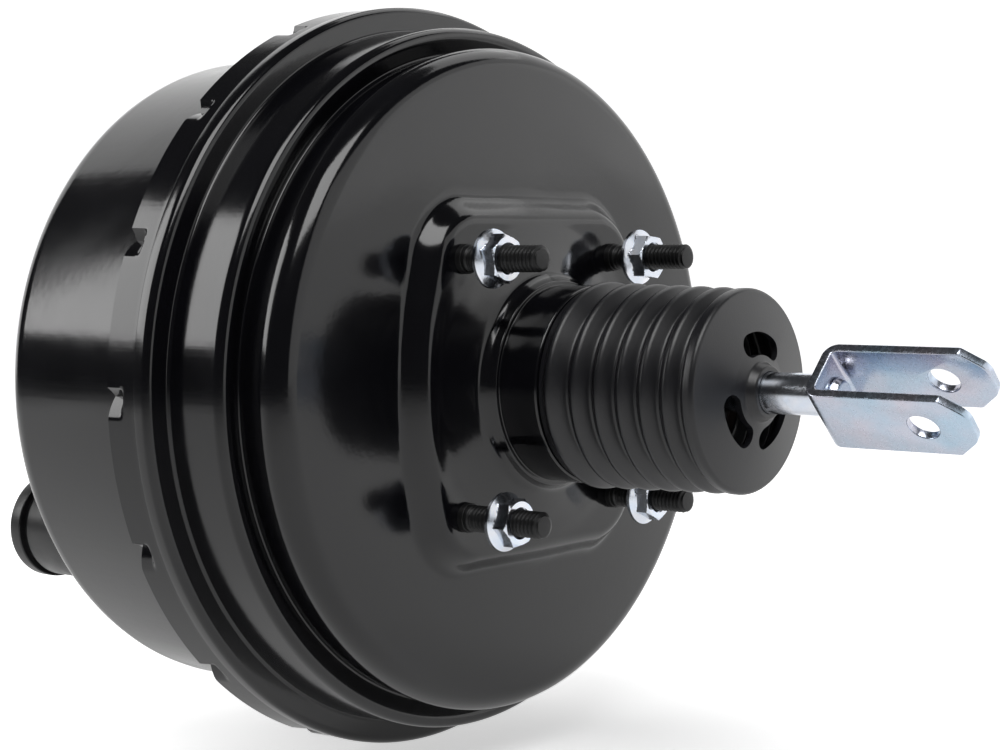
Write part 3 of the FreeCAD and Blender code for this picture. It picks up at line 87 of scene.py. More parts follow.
camera_data = bpy.data.cameras.new("camera")
camera_data.sensor_width = SENSOR_MM
camera_data.lens = FOCAL_PIXELS / FRAME_WIDTH * SENSOR_MM
camera_data.clip_start = 0.01
camera = bpy.data.objects.new("camera", camera_data)
turn = Matrix((right, up, -look)).transposed().to_4x4()
camera.matrix_world = Matrix.Translation(CAMERA_AT) @ turn
bpy.context.scene.collection.objects.link(camera)
bpy.context.scene.camera = camera
print("lens", round(camera_data.lens, 2), "mm")

# %% [markdown]
# Every finish is a small node tree on one Principled shader. Three helpers keep them short: one turns
# the hex colour that an artist reads off a screen into Blender's linear colour, one adds a node with
# its settings and links, and one starts a material with its shader.

# %% Material helpers


def linear(code):
    """An sRGB hex colour as linear red, green, blue and alpha."""
    parts = [int(code[i : i + 2], 16) / 255 for i in (1, 3, 5)]
    return tuple(c / 12.92 if c <= 0.04045 else ((c + 0.055) / 1.055) ** 2.4 for c in parts) + (1.0,)


def add(tree, kind, inputs=None, **settings):
    """Adds a node. inputs gives each socket, by name or number, a value or another node's output."""
    made = tree.nodes.new(kind)
    for name, value in settings.items():
        setattr(made, name, value)
    for name, value in (inputs or {}).items():
        if isinstance(value, bpy.types.NodeSocket):
            tree.links.new(value, made.inputs[name])
        else:
            made.inputs[name].default_value = value
    return made


def finish(name, **inputs):
    """A material with one Principled shader. Spaces in the sockets' names are written as underscores."""
    material = bpy.data.materials.new(name)
    material.use_nodes = True
    tree = material.node_tree
    tree.nodes.clear()
    shader = add(tree, "ShaderNodeBsdfPrincipled", {k.replace("_", " "): v for k, v in inputs.items()})
    output = add(tree, "ShaderNodeOutputMaterial")
    tree.links.new(shader.outputs["BSDF"], output.inputs["Surface"])
    place = add(tree, "ShaderNodeTexCoord").outputs["Object"]
    return material, tree, shader, place


def speckle(tree, place, size_mm, detail=2.0):
    """Noise whose grains are about size_mm across."""
    return add(tree, "ShaderNodeTexNoise", {"Vector": place, "Scale": 1 / (size_mm * MM), "Detail": detail})


def between(tree, factor, low, high, start=0.3, end=0.7):
    """Spreads a 0 to 1 pattern between two numbers."""
    return add(
        tree,
        "ShaderNodeMapRange",
        {"Value": factor, "From Min": start, "From Max": end, "To Min": low, "To Max": high},
    ).outputs["Result"]


def blend_colours(tree, factor, first, second):
    mix = add(tree, "ShaderNodeMix", data_type="RGBA")
    tree.links.new(factor, mix.inputs["Factor"])
    mix.inputs[6].default_value = linear(first)
    mix.inputs[7].default_value = linear(second)
    return mix.outputs[2]


def relief(tree, shader, height, depth_mm, strength=1.0):
    """Bump from a pattern whose highest and lowest points are depth_mm apart."""
    bump = add(tree, "ShaderNodeBump", {"Height": height, "Distance": depth_mm * MM, "Strength": strength})
    tree.links.new(bump.outputs["Normal"], shader.inputs["Normal"])


# %% [markdown]
# The shells are deep drawn steel, dipped and stoved with black paint. Stoved paint on a pressing is
# smooth but not flat: it has a faint orange peel a few millimetres across and keeps the long
# drawing marks of the sheet below. Paint is a dielectric of IOR 1.5, so it isn't metallic.

# %% Stoved black paint
PEEL_MM = 3.0
STREAK_MM = 1.6


def stoved_paint(name, roughness_low, roughness_high):
    material, tree, shader, place = finish(name, Base_Color=linear("#0b0b0c"), IOR=1.5)
    cloud = speckle(tree, place, 22, 3)
    tree.links.new(
        between(tree, cloud.outputs["Fac"], roughness_low, roughness_high), shader.inputs["Roughness"]
    )
    tree.links.new(
        blend_colours(tree, cloud.outputs["Fac"], "#09090b", "#0e0e12"), shader.inputs["Base Color"]
    )
    along = add(tree, "ShaderNodeMapping", {"Vector": place, "Scale": (0.02, 1.0, 1.0)})
    streaks = speckle(tree, along.outputs["Vector"], STREAK_MM, 4)
    peel = speckle(tree, place, PEEL_MM, 1)
    both = add(
        tree, "ShaderNodeMath", {0: streaks.outputs["Fac"], 1: peel.outputs["Fac"]}, operation="ADD"
    )
    relief(tree, shader, both.outputs["Value"], 0.012)
    return material


shell_paint = stoved_paint("stoved_black_paint", 0.1, 0.16)

# %% [markdown]
# The boot is moulded EPDM rubber. It is dark grey rather than black, because its dull skin
# scatters light, and the mould leaves a fine grain. Rubber's IOR is about 1.52 and it is rough.

# %% Moulded rubber
GRAIN_MM = 0.5


def moulded_rubber(name, dark, pale, roughness, grain_mm=GRAIN_MM, depth_mm=0.02):
    material, tree, shader, place = finish(name, Roughness=roughness, IOR=1.52)
    bloom = speckle(tree, place, 9, 4)
    tree.links.new(blend_colours(tree, bloom.outputs["Fac"], dark, pale), shader.inputs["Base Color"])
    grain = speckle(tree, place, grain_mm, 2)
    relief(tree, shader, grain.outputs["Fac"], depth_mm)
    return material


boot_rubber = moulded_rubber("moulded_epdm_rubber", "#0f0f12", "#17171b", 0.36)
seal_rubber = moulded_rubber("nitrile_seal_rubber", "#121213", "#1b1b1c", 0.42, 0.3, 0.008)
diaphragm_rubber = moulded_rubber("diaphragm_rubber", "#20201f", "#2b2a28", 0.6, 0.8, 0.03)

# %% [markdown]
# Nuts, rod and fork are steel under bright zinc. Zinc is a metal, so the colour sits in the
# reflection, and the passivation over it gives a cool cast that drifts from lavender to blue.
# Its crystals are far too small to see; what shows is a soft cloudiness of the gloss.

# %% Zinc plate


def zinc_plate(name, warm, cool, roughness_low, roughness_high, cloud_mm=6):
    material, tree, shader, place = finish(name, Metallic=1.0)
    cloud = speckle(tree, place, cloud_mm, 3)
    tint = blend_colours(tree, between(tree, cloud.outputs["Fac"], 0, 1), warm, cool)
    tree.links.new(tint, shader.inputs["Base Color"])
    tree.links.new(
        between(tree, speckle(tree, place, 1.2, 3).outputs["Fac"], roughness_low, roughness_high),
        shader.inputs["Roughness"],
    )
    relief(tree, shader, speckle(tree, place, 0.6, 2).outputs["Fac"], 0.004)
    return material


bright_zinc = zinc_plate("bright_zinc", "#e2e3e8", "#d2dcea", 0.14, 0.24)
fork_zinc = zinc_plate("blue_passivated_zinc", "#c8c5d0", "#b0c5d6", 0.2, 0.3, 14)
plated_sheet = zinc_plate("plated_sheet_steel", "#b9b090", "#c2bca6", 0.3, 0.42, 10)
drawn_wire = zinc_plate("drawn_spring_wire", "#6f7075", "#7c7d82", 0.3, 0.4, 3)
machined_steel = zinc_plate("machined_steel", "#9a9b9f", "#a7a8ab", 0.22, 0.32, 5)

# %% [markdown]
# The studs are phosphated and oiled. Phosphate is a crust of fine crystals, nearly black, that
# soaks up oil, so it has a dull body with a soft oily gloss on the crests of the threads.

# %% Phosphate
phosphate, tree, shader, place = finish(
    "oiled_phosphate", Base_Color=linear("#161617"), Metallic=0.35, IOR=1.5
)
crystals = speckle(tree, place, 0.35, 3)
tree.links.new(between(tree, crystals.outputs["Fac"], 0.34, 0.52), shader.inputs["Roughness"])
relief(tree, shader, crystals.outputs["Fac"], 0.006)

# %% [markdown]
# The check valve is moulded in glass filled nylon: black, slightly satin, with a flow pattern
# that shows as small changes of gloss. The valve body is a brown black phenolic moulding.

# %% Moulded plastics


def moulded_plastic(name, dark, pale, roughness_low, roughness_high):
    material, tree, shader, place = finish(name, IOR=1.53)
    flow = speckle(tree, place, 5, 3)
    tree.links.new(blend_colours(tree, flow.outputs["Fac"], dark, pale), shader.inputs["Base Color"])
    tree.links.new(
        between(tree, flow.outputs["Fac"], roughness_low, roughness_high), shader.inputs["Roughness"]
    )
    relief(tree, shader, speckle(tree, place, 0.4, 2).outputs["Fac"], 0.008)
    return material


valve_nylon = moulded_plastic("glass_filled_nylon", "#0d0d0f", "#141416", 0.3, 0.42)
phenolic = moulded_plastic("phenolic_moulding", "#241d1a", "#2e2723", 0.4, 0.5)
natural_nylon = moulded_plastic("natural_nylon", "#cfc9ba", "#dcd7c9", 0.38, 0.48)

# %% [markdown]
# Felt in the air filter is a mat of fibres: no gloss, and a tangle of thin light and dark lines.

# %% Filter felt
felt, tree, shader, place = finish("filter_felt", Roughness=0.95, IOR=1.45)
fibres = speckle(tree, place, 0.25, 6)
mat = blend_colours(tree, between(tree, fibres.outputs["Fac"], 0, 1), "#2a2a2b", "#4a4a4b")
tree.links.new(mat, shader.inputs["Base Color"])
relief(tree, shader, fibres.outputs["Fac"], 0.12)

# %% [markdown]
# Most pieces are turned: a half section is drawn as a few corners, its corners are rounded, and the
# line is spun about the booster's axis. Rounding the drawn line first is what gives each edge
# its highlight, and it stays exact however fine the spin is.

# %% Turning helpers
FULL_TURN = 2 * math.pi


def round_corner(bm, corner, radius):
    """Rounds one corner of a drawn line to a radius in metres."""
    first, second = [edge.other_vert(corner).co - corner.co for edge in corner.link_edges]
    opening = first.angle(second)
    segments = max(2, round((math.pi - opening) / math.radians(11)))
    bmesh.ops.bevel(
        bm,
        geom=[corner],
        offset=radius / math.tan(opening / 2),
        offset_type="OFFSET",
        segments=segments,
        profile=0.5,
        affect="VERTICES",
        material=-1,
    )


def half_section(corners, closed=True):
    """Corners of (x, radius) or (x, radius, rounding), in millimetres, as a line in the XZ plane."""
    bm = bmesh.new()
    line = [bm.verts.new((corner[0] * MM, 0, corner[1] * MM)) for corner in corners]
    for start, end in zip(line, line[1:] + line[:1] if closed else line[1:]):
        bm.edges.new((start, end))
    for point, corner in zip(line, corners):
        if len(corner) > 2:
            round_corner(bm, point, corner[2] * MM)
    return bm


def spin_round(bm, steps):
    """Spins a half section all the way round the X axis and closes it."""
    bmesh.ops.spin(
        bm,
        geom=bm.verts[:] + bm.edges[:],
        axis=(1, 0, 0),
        cent=(0, 0, 0),
        angle=FULL_TURN,
        steps=steps,
        use_merge=True,
    )
    tidy(bm)
    return bm


def tidy(bm):
    bmesh.ops.remove_doubles(bm, verts=bm.verts[:], dist=0.002 * MM)
    bmesh.ops.dissolve_degenerate(bm, edges=bm.edges[:], dist=0.001 * MM)
    bmesh.ops.recalc_face_normals(bm, faces=bm.faces[:])


def turned(corners, steps=128):
    return spin_round(half_section(corners), steps)


def move(bm, offset):
    bmesh.ops.translate(bm, verts=bm.verts[:], vec=Vector(offset) * MM)
    return bm


def make(name, bm, material, body=None, stands_for=(), crease=32):
    """Turns a bmesh into a piece with smooth faces, sharp where it turns by more than crease degrees."""
    mesh = bpy.data.meshes.new(name)
    bm.to_mesh(mesh)
    bm.free()
    for face in mesh.polygons:
        face.use_smooth = True
    mesh.set_sharp_from_angle(angle=math.radians(crease))
    mesh.materials.append(material)
    piece = bpy.data.objects.new(name, mesh)
    bpy.context.scene.collection.objects.link(piece)
    if body:
        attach(piece, body)
    if stands_for:
        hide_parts(*stands_for)
    print(f"{name}: {len(mesh.polygons)} faces, {', '.join(f'{d / MM:.1f}' for d in piece.dimensions)} mm")
    return piece


# %% [markdown]
# The rear shell is the face of the booster: a neck, a dome, a rolled shoulder, a band and the rim that is
# crimped over the front shell. Its outer skin is drawn as one line from the neck's mouth to
# the skirt's edge and spun. The skin gets its wall last, once it has been pressed to shape.

# %% Rear shell, skin
SHELL_WALL = 1.6
SHELL_STEPS = 272
PAD_REACH = 78
NECK_FOOT_X = 3.6
SKIRT_X = -54.0
SKIRT_END_X = -62.8
SKIRT_END_RADIUS = 118.0

rear_line = [
    (28.4, 27.4),
    (21.5, 27.4, 0.3),
    (21.5, 29.8, 0.8),
    (7.6, 29.8, 0.3),
    (7.6, 31.2, 0.6),
    (NECK_FOOT_X, 32.2, 4.0),
    (-1.6, 47.0, 10.0),
    (-6.6, 56.0, 12.0),
    (-9.2, 103.9, 7.0),
    (-27.4, 100.8, 0.9),
    (-23.6, 109.8, 3.0),
    (-46.3, 109.8, 1.2),
    (-46.3, 117.8, 2.4),
    (-51.7, 117.8, 0.4),
    (-52.3, 117.1, 0.4),
    (SKIRT_END_X, SKIRT_END_RADIUS),
]
skin = half_section(rear_line, closed=False)


def refine(bm, low, high, longest, across, least_radius=0):
    """Divides the line's edges between two places so that none is longer than longest, in millimetres."""
    for edge in bm.edges[:]:
        middle = (edge.verts[0].co + edge.verts[1].co) / 2 / MM
        place = middle.x if across == "x" else middle.z
        cuts = math.ceil(edge.calc_length() / (longest * MM)) - 1
        if low < place < high and middle.z > least_radius and cuts > 0:
            bmesh.ops.subdivide_edges(bm, edges=[edge], cuts=cuts)


def cut_at(bm, radius=None, x=None):
    """Gives the line a point at a radius or an x, so that its edges can be divided on one side of it."""
    normal = (0, 0, 1) if x is None else (1, 0, 0)
    place = (0, 0, radius * MM) if x is None else (x * MM, 0, 0)
    bmesh.ops.bisect_plane(bm, geom=bm.verts[:] + bm.edges[:], plane_co=place, plane_no=normal, dist=1e-7)


cut_at(skin, radius=PAD_REACH)
refine(skin, 32.5, PAD_REACH, 1.2, "z")
cut_at(skin, x=SKIRT_X)
refine(skin, SKIRT_END_X, SKIRT_X, 0.55, "x")
spin_round(skin, SHELL_STEPS)
print("rear skin:", len(skin.verts), "points")

# %% [markdown]
# The mounting pad is a raised flat island around the neck, with straight top and bottom edges
# and bulging sides. A press draws it with soft edges, so every point of the dome is pushed out
# along X to a height that falls from the pad's face to the dome, and the two are blended with a
# smooth maximum.

# %% Rear shell, mounting pad
PAD_CORNERS = [(43.0, 51.7), (57.0, 0.0), (43.0, -51.7), (-43.0, -51.7), (-57.0, 0.0), (-43.0, 51.7)]
PAD_CORNER_ROUND = 12.0
PAD_SLOPE = 0.55
PAD_BLEND = 2.8


def beyond_pad(y, z):
    """How far a point lies outside the pad's outline, in millimetres, negative inside."""
    walls = []
    for (y1, z1), (y2, z2) in zip(PAD_CORNERS, PAD_CORNERS[1:] + PAD_CORNERS[:1]):
        length = math.hypot(y2 - y1, z2 - z1)
        walls.append(((z1 - z2) * (y - y1) + (y2 - y1) * (z - z1)) / length + PAD_CORNER_ROUND)
    outside = [max(wall, 0) for wall in walls]
    if any(outside):
        return math.sqrt(sum(wall**2 for wall in sorted(outside)[-2:])) - PAD_CORNER_ROUND
    return max(walls) - PAD_CORNER_ROUND


def smooth_max(a, b, width):
    near = max(width - abs(a - b), 0) / width
    return max(a, b) + near * near * width / 4


for point in skin.verts:
    x, y, z = point.co / MM
    if math.hypot(y, z) < PAD_REACH and x < NECK_FOOT_X:
        edge = beyond_pad(y, z)
        face = -smooth_max(0, edge / PAD_SLOPE, 2 * PAD_BLEND)
        point.co.x = smooth_max(x, face, PAD_BLEND * 1.5) * MM if face > x - 4 else point.co.x

# %% [markdown]
# Around the skirt the edge is driven inwards in sixteen places, which locks it behind the front
# shell's flange. The punch leaves a scoop that is steep at one end and rises slowly at the other, with
# a sharp lip towards the band. The skirt is divided more finely there, and its points sink to the
# scoop's shape: a short ramp along X times a lopsided profile around the skirt.

# %% Rear shell, locking dents
DENTS = 16
DENT_LIP_X = -56.6
DENT_RAMP = 1.8
DENT_DEPTH = 2.9
DENT_STEEP = 2.4
DENT_TAIL = 6.5
DENT_ROWS_X = -55.4
DENT_FROM = -4.2
DENT_TO = 9.5


def beside_dent(y, z):
    """Distance along the skirt from the nearest dent's deepest place, in millimetres."""
    pitch = FULL_TURN / DENTS
    angle = (math.atan2(z, y) + pitch / 2) % pitch - pitch / 2
    return angle * SKIRT_END_RADIUS


def dent_depth(x, arc):
    """How far the punch has driven a point of the skirt inwards, in millimetres."""
    ramp = min(1, max(0, (DENT_LIP_X - x) / DENT_RAMP))
    if arc < 0:
        around = max(0, 1 + arc / DENT_STEEP) ** 0.6
    else:
        around = max(0, 1 - arc / DENT_TAIL) ** 1.5
    return DENT_DEPTH * ramp * ramp * (3 - 2 * ramp) * around


near_dents = []
for edge in skin.edges:
    first, second = [point.co / MM for point in edge.verts]
    around = abs(first.x - second.x) < 0.01 and first.x < DENT_ROWS_X
    arc = beside_dent(*((first + second) / 2).yz)
    if around and DENT_FROM < arc < DENT_TO:
        near_dents.append(edge)
bmesh.ops.subdivide_edges(skin, edges=near_dents, cuts=3, use_grid_fill=True)
for point in skin.verts:
    x, y, z = point.co / MM
    if x < DENT_LIP_X:
        share = 1 - dent_depth(x, beside_dent(y, z)) / math.hypot(y, z)
        point.co.y *= share
        point.co.z *= share
bmesh.ops.recalc_face_normals(skin, faces=skin.faces[:])
if sum(face.normal.x * face.calc_area() for face in skin.faces) < 0:
    bmesh.ops.reverse_faces(skin, faces=skin.faces[:])
bmesh.ops.solidify(skin, geom=skin.faces[:], thickness=SHELL_WALL * MM)
make("rear_shell_pressing", skin, shell_paint, "housing", ["rear_shell"], crease=40)

# %% [markdown]
# The front shell is the deep cup towards the engine. Its wall is drawn straight and its corner is wide. A
# plateau carries the master cylinder, and a short tube in it takes the cylinder's nose.

# %% Front shell
front_corners = [
    (-55.4, 115.3),
    (-57.0, 115.3, 0.6),
    (-57.0, 105.1, 1.0),
    (-130.5, 105.1, 11.0),
    (-130.5, 59.5, 2.0),
    (-136.0, 53.0, 2.5),
    (-136.0, 20.5, 1.2),
    (-123.5, 20.5),
    (-123.5, 22.1),
    (-134.4, 22.1),
    (-134.4, 52.2),
    (-128.9, 59.2),
    (-128.9, 103.5, 9.4),
    (-55.4, 103.5),
]
front_wall = turned(front_corners, 384)
make("front_shell_pressing", front_wall, shell_paint, "housing", ["front_shell"])

# %% [markdown]
# The studs are threaded 5/16 inch with 18 threads to the inch. A thread is a helix, so the turned
# stud is spun finely and each point of the threaded stretch moves in or out with its place on the
# helix. The crests are flattened a little, as rolled threads are.

# %% Threads
STUD_PITCH = 25.4 / 18
MASTER_PITCH = 1.5
THREAD_STEPS = 40


def cut_thread(bm, low, high, pitch, depth, run_in):
    """Cuts a helical thread into the points between two places along X. It runs out at run_in."""
    for point in bm.verts:
        x, y, z = point.co / MM
        radius = math.hypot(y, z)
        if not (low <= x <= high) or radius < 1.0:
            continue
        turn = (x / pitch + math.atan2(z, y) / FULL_TURN) % 1
        tooth = min(1, max(0, 1.6 * abs(2 * turn - 1) - 0.3))
        runout = min(1, abs(x - run_in) / pitch)
        cut = depth * tooth * runout
        point.co.y *= 1 - cut / radius
        point.co.z *= 1 - cut / radius


def threaded_stud(corners, low, high, pitch, depth, run_in):
    """A stud turned from corners, with a thread from low to high that runs out at run_in."""
    line = half_section(corners)
    cut_at(line, x=low)
    cut_at(line, x=high)
    refine(line, low, high, pitch / 12, "x", 2.0)
    spin_round(line, THREAD_STEPS)
    cut_thread(line, low, high, pitch, depth, run_in)
    bmesh.ops.recalc_face_normals(line, faces=line.faces[:])
    return line


def gather(parts):
    """Joins several bmeshes into one."""
    whole = bmesh.new()
    for part in parts:
        mesh = bpy.data.meshes.new("part")
        part.to_mesh(mesh)
        part.free()
        whole.from_mesh(mesh)
        bpy.data.meshes.remove(mesh)
    return whole


# %% Firewall studs
STUD_Y = 36.0
STUD_Z = 38.1
STUD_END = 29.6
stud_places = [(-STUD_Y, STUD_Z), (STUD_Y, STUD_Z), (-STUD_Y, -STUD_Z), (STUD_Y, -STUD_Z)]
stud_corners = [
    (-6.7, 0),
    (STUD_END, 0),
    (STUD_END, 3.3, 0.2),
    (STUD_END - 0.9, 3.95, 0.2),
    (2.0, 3.97),
    (2.0, 4.4, 0.2),
    (0, 4.4),
    (-4.1, 4.4),
    (-4.1, 7.0, 0.3),
    (-6.7, 7.0, 0.8),
]
studs = [
    move(threaded_stud(stud_corners, 2.6, STUD_END, STUD_PITCH, 0.72, 2.6), (0, y, z)) for y, z in stud_places
]
make("firewall_stud_set", gather(studs), phosphate, "housing", ["firewall_studs"], crease=45)

# %% [markdown]
# A flange nut is a hexagon with a washer forged onto it, and its crown is cut by a cone, which leaves
# the curved chamfers. The nut is spun as a fine ring, and each point of its outside then moves to
# whichever is further out: the washer's cone or the hexagon under its crown.

# %% Flange nuts
NUT_FLATS = 12.7
NUT_HEIGHT = 6.8
FLANGE_RADIUS = 8.65
FLANGE_HEIGHT = 1.4
NUT_BORE = 3.99
nut_gaps = (9.9, 9.7, 13.8, 11.5)
nut_turns = (10, 24, -21, 5)


def nut_radius(x, angle):
    """The nut's outside at a height over its seat and an angle in degrees."""
    washer = FLANGE_RADIUS - max(0, x - FLANGE_HEIGHT) * 1.7
    sector = (angle + 30) % 60 - 30
    hexagon = NUT_FLATS / 2 / math.cos(math.radians(sector))
    crown = NUT_FLATS / 2 + (NUT_HEIGHT - x) * 1.73
    return max(washer, min(hexagon, crown))


def flange_nut(gap, turn):
    """A nut whose washer stands gap millimetres off the mounting face, turned by turn degrees."""
    bm = half_section([
        (0, NUT_BORE + 0.5),
        (0, FLANGE_RADIUS - 0.4, 0.2),
        (0.4, FLANGE_RADIUS),
        (NUT_HEIGHT, FLANGE_RADIUS),
        (NUT_HEIGHT, NUT_BORE + 0.7),
        (NUT_HEIGHT - 0.7, NUT_BORE),
        (0.5, NUT_BORE),
    ])
    refine(bm, 0.4, NUT_HEIGHT, 0.2, "x", FLANGE_RADIUS - 0.1)
    spin_round(bm, 144)
    for point in bm.verts:
        x, y, z = point.co / MM
        radius = math.hypot(y, z)
        if x > 0.3 and radius > FLANGE_RADIUS - 0.05:
            target = nut_radius(x, math.degrees(math.atan2(z, y)))
            point.co.y *= target / radius
            point.co.z *= target / radius
    turned_by = Matrix.Rotation(math.radians(turn), 3, "X")
    bmesh.ops.rotate(bm, verts=bm.verts[:], cent=(0, 0, 0), matrix=turned_by)
    return move(bm, (gap, 0, 0))


nuts = []
for gap, (y, z), turn in zip(nut_gaps, stud_places, nut_turns):
    nuts.append(move(flange_nut(gap, turn), (0, y, z)))
make("flange_nut_set", gather(nuts), bright_zinc, "housing", ["flange_nuts"], crease=24)

# %% [markdown]
# The dust boot is a moulded bellows. Its collar grips the neck, six folds take up the rod's stroke,
# and the end is stiff, with an eye around the rod and three kidney vents for the air that the
# valve draws in. The bellows and the end are two pieces here.

# %% Boot, bellows
CREST_X = (26.0, 34.9, 43.1, 50.9, 58.5, 66.1)
VALLEY_X = (30.7, 39.0, 47.0, 54.7, 62.3, 69.7)
CREST_RADIUS = 31.9
CREST_TAPER = 0.26
VALLEY_RADIUS = 25.9
RIM_X = 75.4
RIM_RADIUS = 29.4
BOOT_SEAT = 27.42

folds = [(21.8, BOOT_SEAT), (21.8, 29.3, 0.5), (23.7, 29.3, 0.6)]
for index, (crest, valley) in enumerate(zip(CREST_X, VALLEY_X)):
    folds += [(crest, CREST_RADIUS - CREST_TAPER * index, 1.7), (valley, VALLEY_RADIUS, 1.0)]
folds += [(72.0, RIM_RADIUS, 1.0), (73.9, RIM_RADIUS)]
folds += [(73.9, RIM_RADIUS - 1.6), (72.6, RIM_RADIUS - 1.6, 0.4)]
for index in reversed(range(6)):
    folds.append((VALLEY_X[index], VALLEY_RADIUS - 1.7, 2.0))
    if index:
        folds.append((CREST_X[index], CREST_RADIUS - CREST_TAPER * index - 1.8, 0.6))
folds += [(28.6, 26.6), (28.6, BOOT_SEAT)]
bellows = make("dust_boot_bellows", turned(folds, 160), boot_rubber, None, ["boot"])
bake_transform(bellows)

# %% [markdown]
# The boot's end is turned the same way, and three kidney cutters are subtracted from it. Each
# cutter is an arc spun about the axis from a small square, so its ends and sides follow the eye.

# %% Boot, vented end
end_corners = [
    (73.9, RIM_RADIUS),
    (RIM_X, RIM_RADIUS, 1.5),
    (78.4, 12.5, 1.2),
    (79.4, 8.6, 1.0),
    (82.0, 7.5, 0.7),
    (82.0, 6.0, 0.2),
    (77.6, 6.0),
    (77.2, 9.0, 0.5),
    (73.8, 27.8),
    (73.9, 27.8),
]
VENT_MIDDLES = (83, 218, 309)
VENT_HALF_ANGLE = 24
VENT_CIRCLE = 13.8
VENT_HALF_WIDTH = 3.3


def kidney(middle):
    """A solid kidney around the axis, from x 70 to 84, for cutting one vent."""
    bm = bmesh.new()
    inner, outer = VENT_CIRCLE - VENT_HALF_WIDTH, VENT_CIRCLE + VENT_HALF_WIDTH
    square = ((70, inner), (84, inner), (84, outer), (70, outer))
    face = bm.faces.new([bm.verts.new((x * MM, 0, radius * MM)) for x, radius in square])
    start = math.radians(90 - middle + VENT_HALF_ANGLE)
    sweep = math.radians(2 * VENT_HALF_ANGLE)
    bmesh.ops.rotate(bm, verts=bm.verts[:], cent=(0, 0, 0), matrix=Matrix.Rotation(-start, 3, "X"))
    bmesh.ops.spin(bm, geom=[face], axis=(1, 0, 0), cent=(0, 0, 0), angle=sweep, steps=18)
    for end in (middle - VENT_HALF_ANGLE, middle + VENT_HALF_ANGLE):
        radius = VENT_HALF_WIDTH * MM
        cap = bmesh.ops.create_cone(
            bm, cap_ends=True, segments=24, radius1=radius, radius2=radius, depth=14 * MM
        )
        angle = math.radians(end)
        place = Vector((77, VENT_CIRCLE * math.cos(angle), VENT_CIRCLE * math.sin(angle))) * MM
        bmesh.ops.rotate(bm, verts=cap["verts"], cent=(0, 0, 0), matrix=Matrix.Rotation(math.pi / 2, 3, "Y"))
        bmesh.ops.translate(bm, verts=cap["verts"], vec=place)
    bmesh.ops.recalc_face_normals(bm, faces=bm.faces[:])
    return bm


def combine(piece, cutters, name, operation="DIFFERENCE"):
    """Cuts solids from a piece, or keeps only what lies within them, with an exact boolean."""
    mesh = bpy.data.meshes.new(name)
    cutters.to_mesh(mesh)
    cutters.free()
    tool = bpy.data.objects.new(name, mesh)
    bpy.context.scene.collection.objects.link(tool)
    modifier = piece.modifiers.new("cut", "BOOLEAN")
    modifier.operation = operation
    modifier.solver = "EXACT"
    modifier.use_self = True
    modifier.object = tool
    shaped = bpy.data.meshes.new_from_object(piece.evaluated_get(bpy.context.evaluated_depsgraph_get()))
    piece.modifiers.remove(modifier)
    piece.data = shaped
    bpy.data.objects.remove(tool)
    print(f"{piece.name}: {len(shaped.polygons)} faces after {name}")


boot_end = make("dust_boot_end", turned(end_corners, 160), boot_rubber)
combine(boot_end, gather([kidney(middle) for middle in VENT_MIDDLES]), "kidney_vents")
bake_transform(boot_end)

# %% [markdown]
# The rod is plain turned and plated, with its head closed over inside the fork.

# %% Rod
rod_corners = [
    (24.0, 0),
    (24.0, 4.2),
    (34.0, 4.2),
    (37.0, 5.9, 0.5),
    (100.6, 5.9, 0.2),
    (100.6, 4.5),
    (103.6, 4.5),
    (103.6, 5.4, 0.5),
    (106.0, 4.0, 1.0),
    (106.0, 0),
]
rod = turned(rod_corners, 96)
ball = bmesh.ops.create_uvsphere(rod, u_segments=48, v_segments=24, radius=6.5 * MM)
bmesh.ops.translate(rod, verts=ball["verts"], vec=(24 * MM, 0, 0))
make("push_rod", rod, bright_zinc, "input_rod", ["input_rod"])

# %% [markdown]
# The fork is stamped from a strap 2.8 mm thick and then bent to a U, and it is made the same way here.
# The blank is drawn flat with its cut corners and round tips, raised to its thickness and drilled.
# Every edge gets a small bevel, because that is what catches the light, and the blank is bent last,
# by moving each point from its place along the strap to its place along the U.

# %% Fork, blank
FORK_OUTSIDE = 19.3
FORK_WIDTH = 21.5
STRAP = 2.8
BEND = 4.2
FORK_BASE_X = 100.7
FORK_END_X = 147.5
FORK_CORNER_X = 140.8
FORK_TIP_HALF = 4.6
FORK_TIP_ROUND = 4.6
PIN_X = 133.1
PIN_RADIUS = 4.5
EYE_RADIUS = 4.56
FORK_TURN = math.radians(45.5)

BEND_MIDDLE = BEND - STRAP / 2
BASE_HALF = FORK_OUTSIDE / 2 - BEND
BEND_ALONG = BEND_MIDDLE * math.pi / 2


def along_strap(x):
    """How far along the flat blank, from its middle, the place of an ear at x lies."""
    return BASE_HALF + BEND_ALONG + x - FORK_BASE_X - BEND


half_width = FORK_WIDTH / 2
tip, corner = along_strap(FORK_END_X), along_strap(FORK_CORNER_X)
blank_corners = [
    (-tip, -FORK_TIP_HALF), (-corner, -half_width), (corner, -half_width), (tip, -FORK_TIP_HALF),
    (tip, FORK_TIP_HALF), (corner, half_width), (-corner, half_width), (-tip, FORK_TIP_HALF),
]
blank_rounds = [FORK_TIP_ROUND, 1.0, 1.0, FORK_TIP_ROUND, FORK_TIP_ROUND, 1.0, 1.0, FORK_TIP_ROUND]
blank = bmesh.new()
line = [blank.verts.new((a * MM, b * MM, -STRAP / 2 * MM)) for a, b in blank_corners]
for start, end in zip(line, line[1:] + line[:1]):
    blank.edges.new((start, end))
for point, radius in zip(line, blank_rounds):
    round_corner(blank, point, radius * MM)
face = bmesh.ops.contextual_create(blank, geom=blank.edges[:])["faces"]
raised = bmesh.ops.extrude_face_region(blank, geom=face)
top = [item for item in raised["geom"] if isinstance(item, bmesh.types.BMVert)]
bmesh.ops.translate(blank, verts=top, vec=(0, 0, STRAP * MM))
bmesh.ops.recalc_face_normals(blank, faces=blank.faces[:])
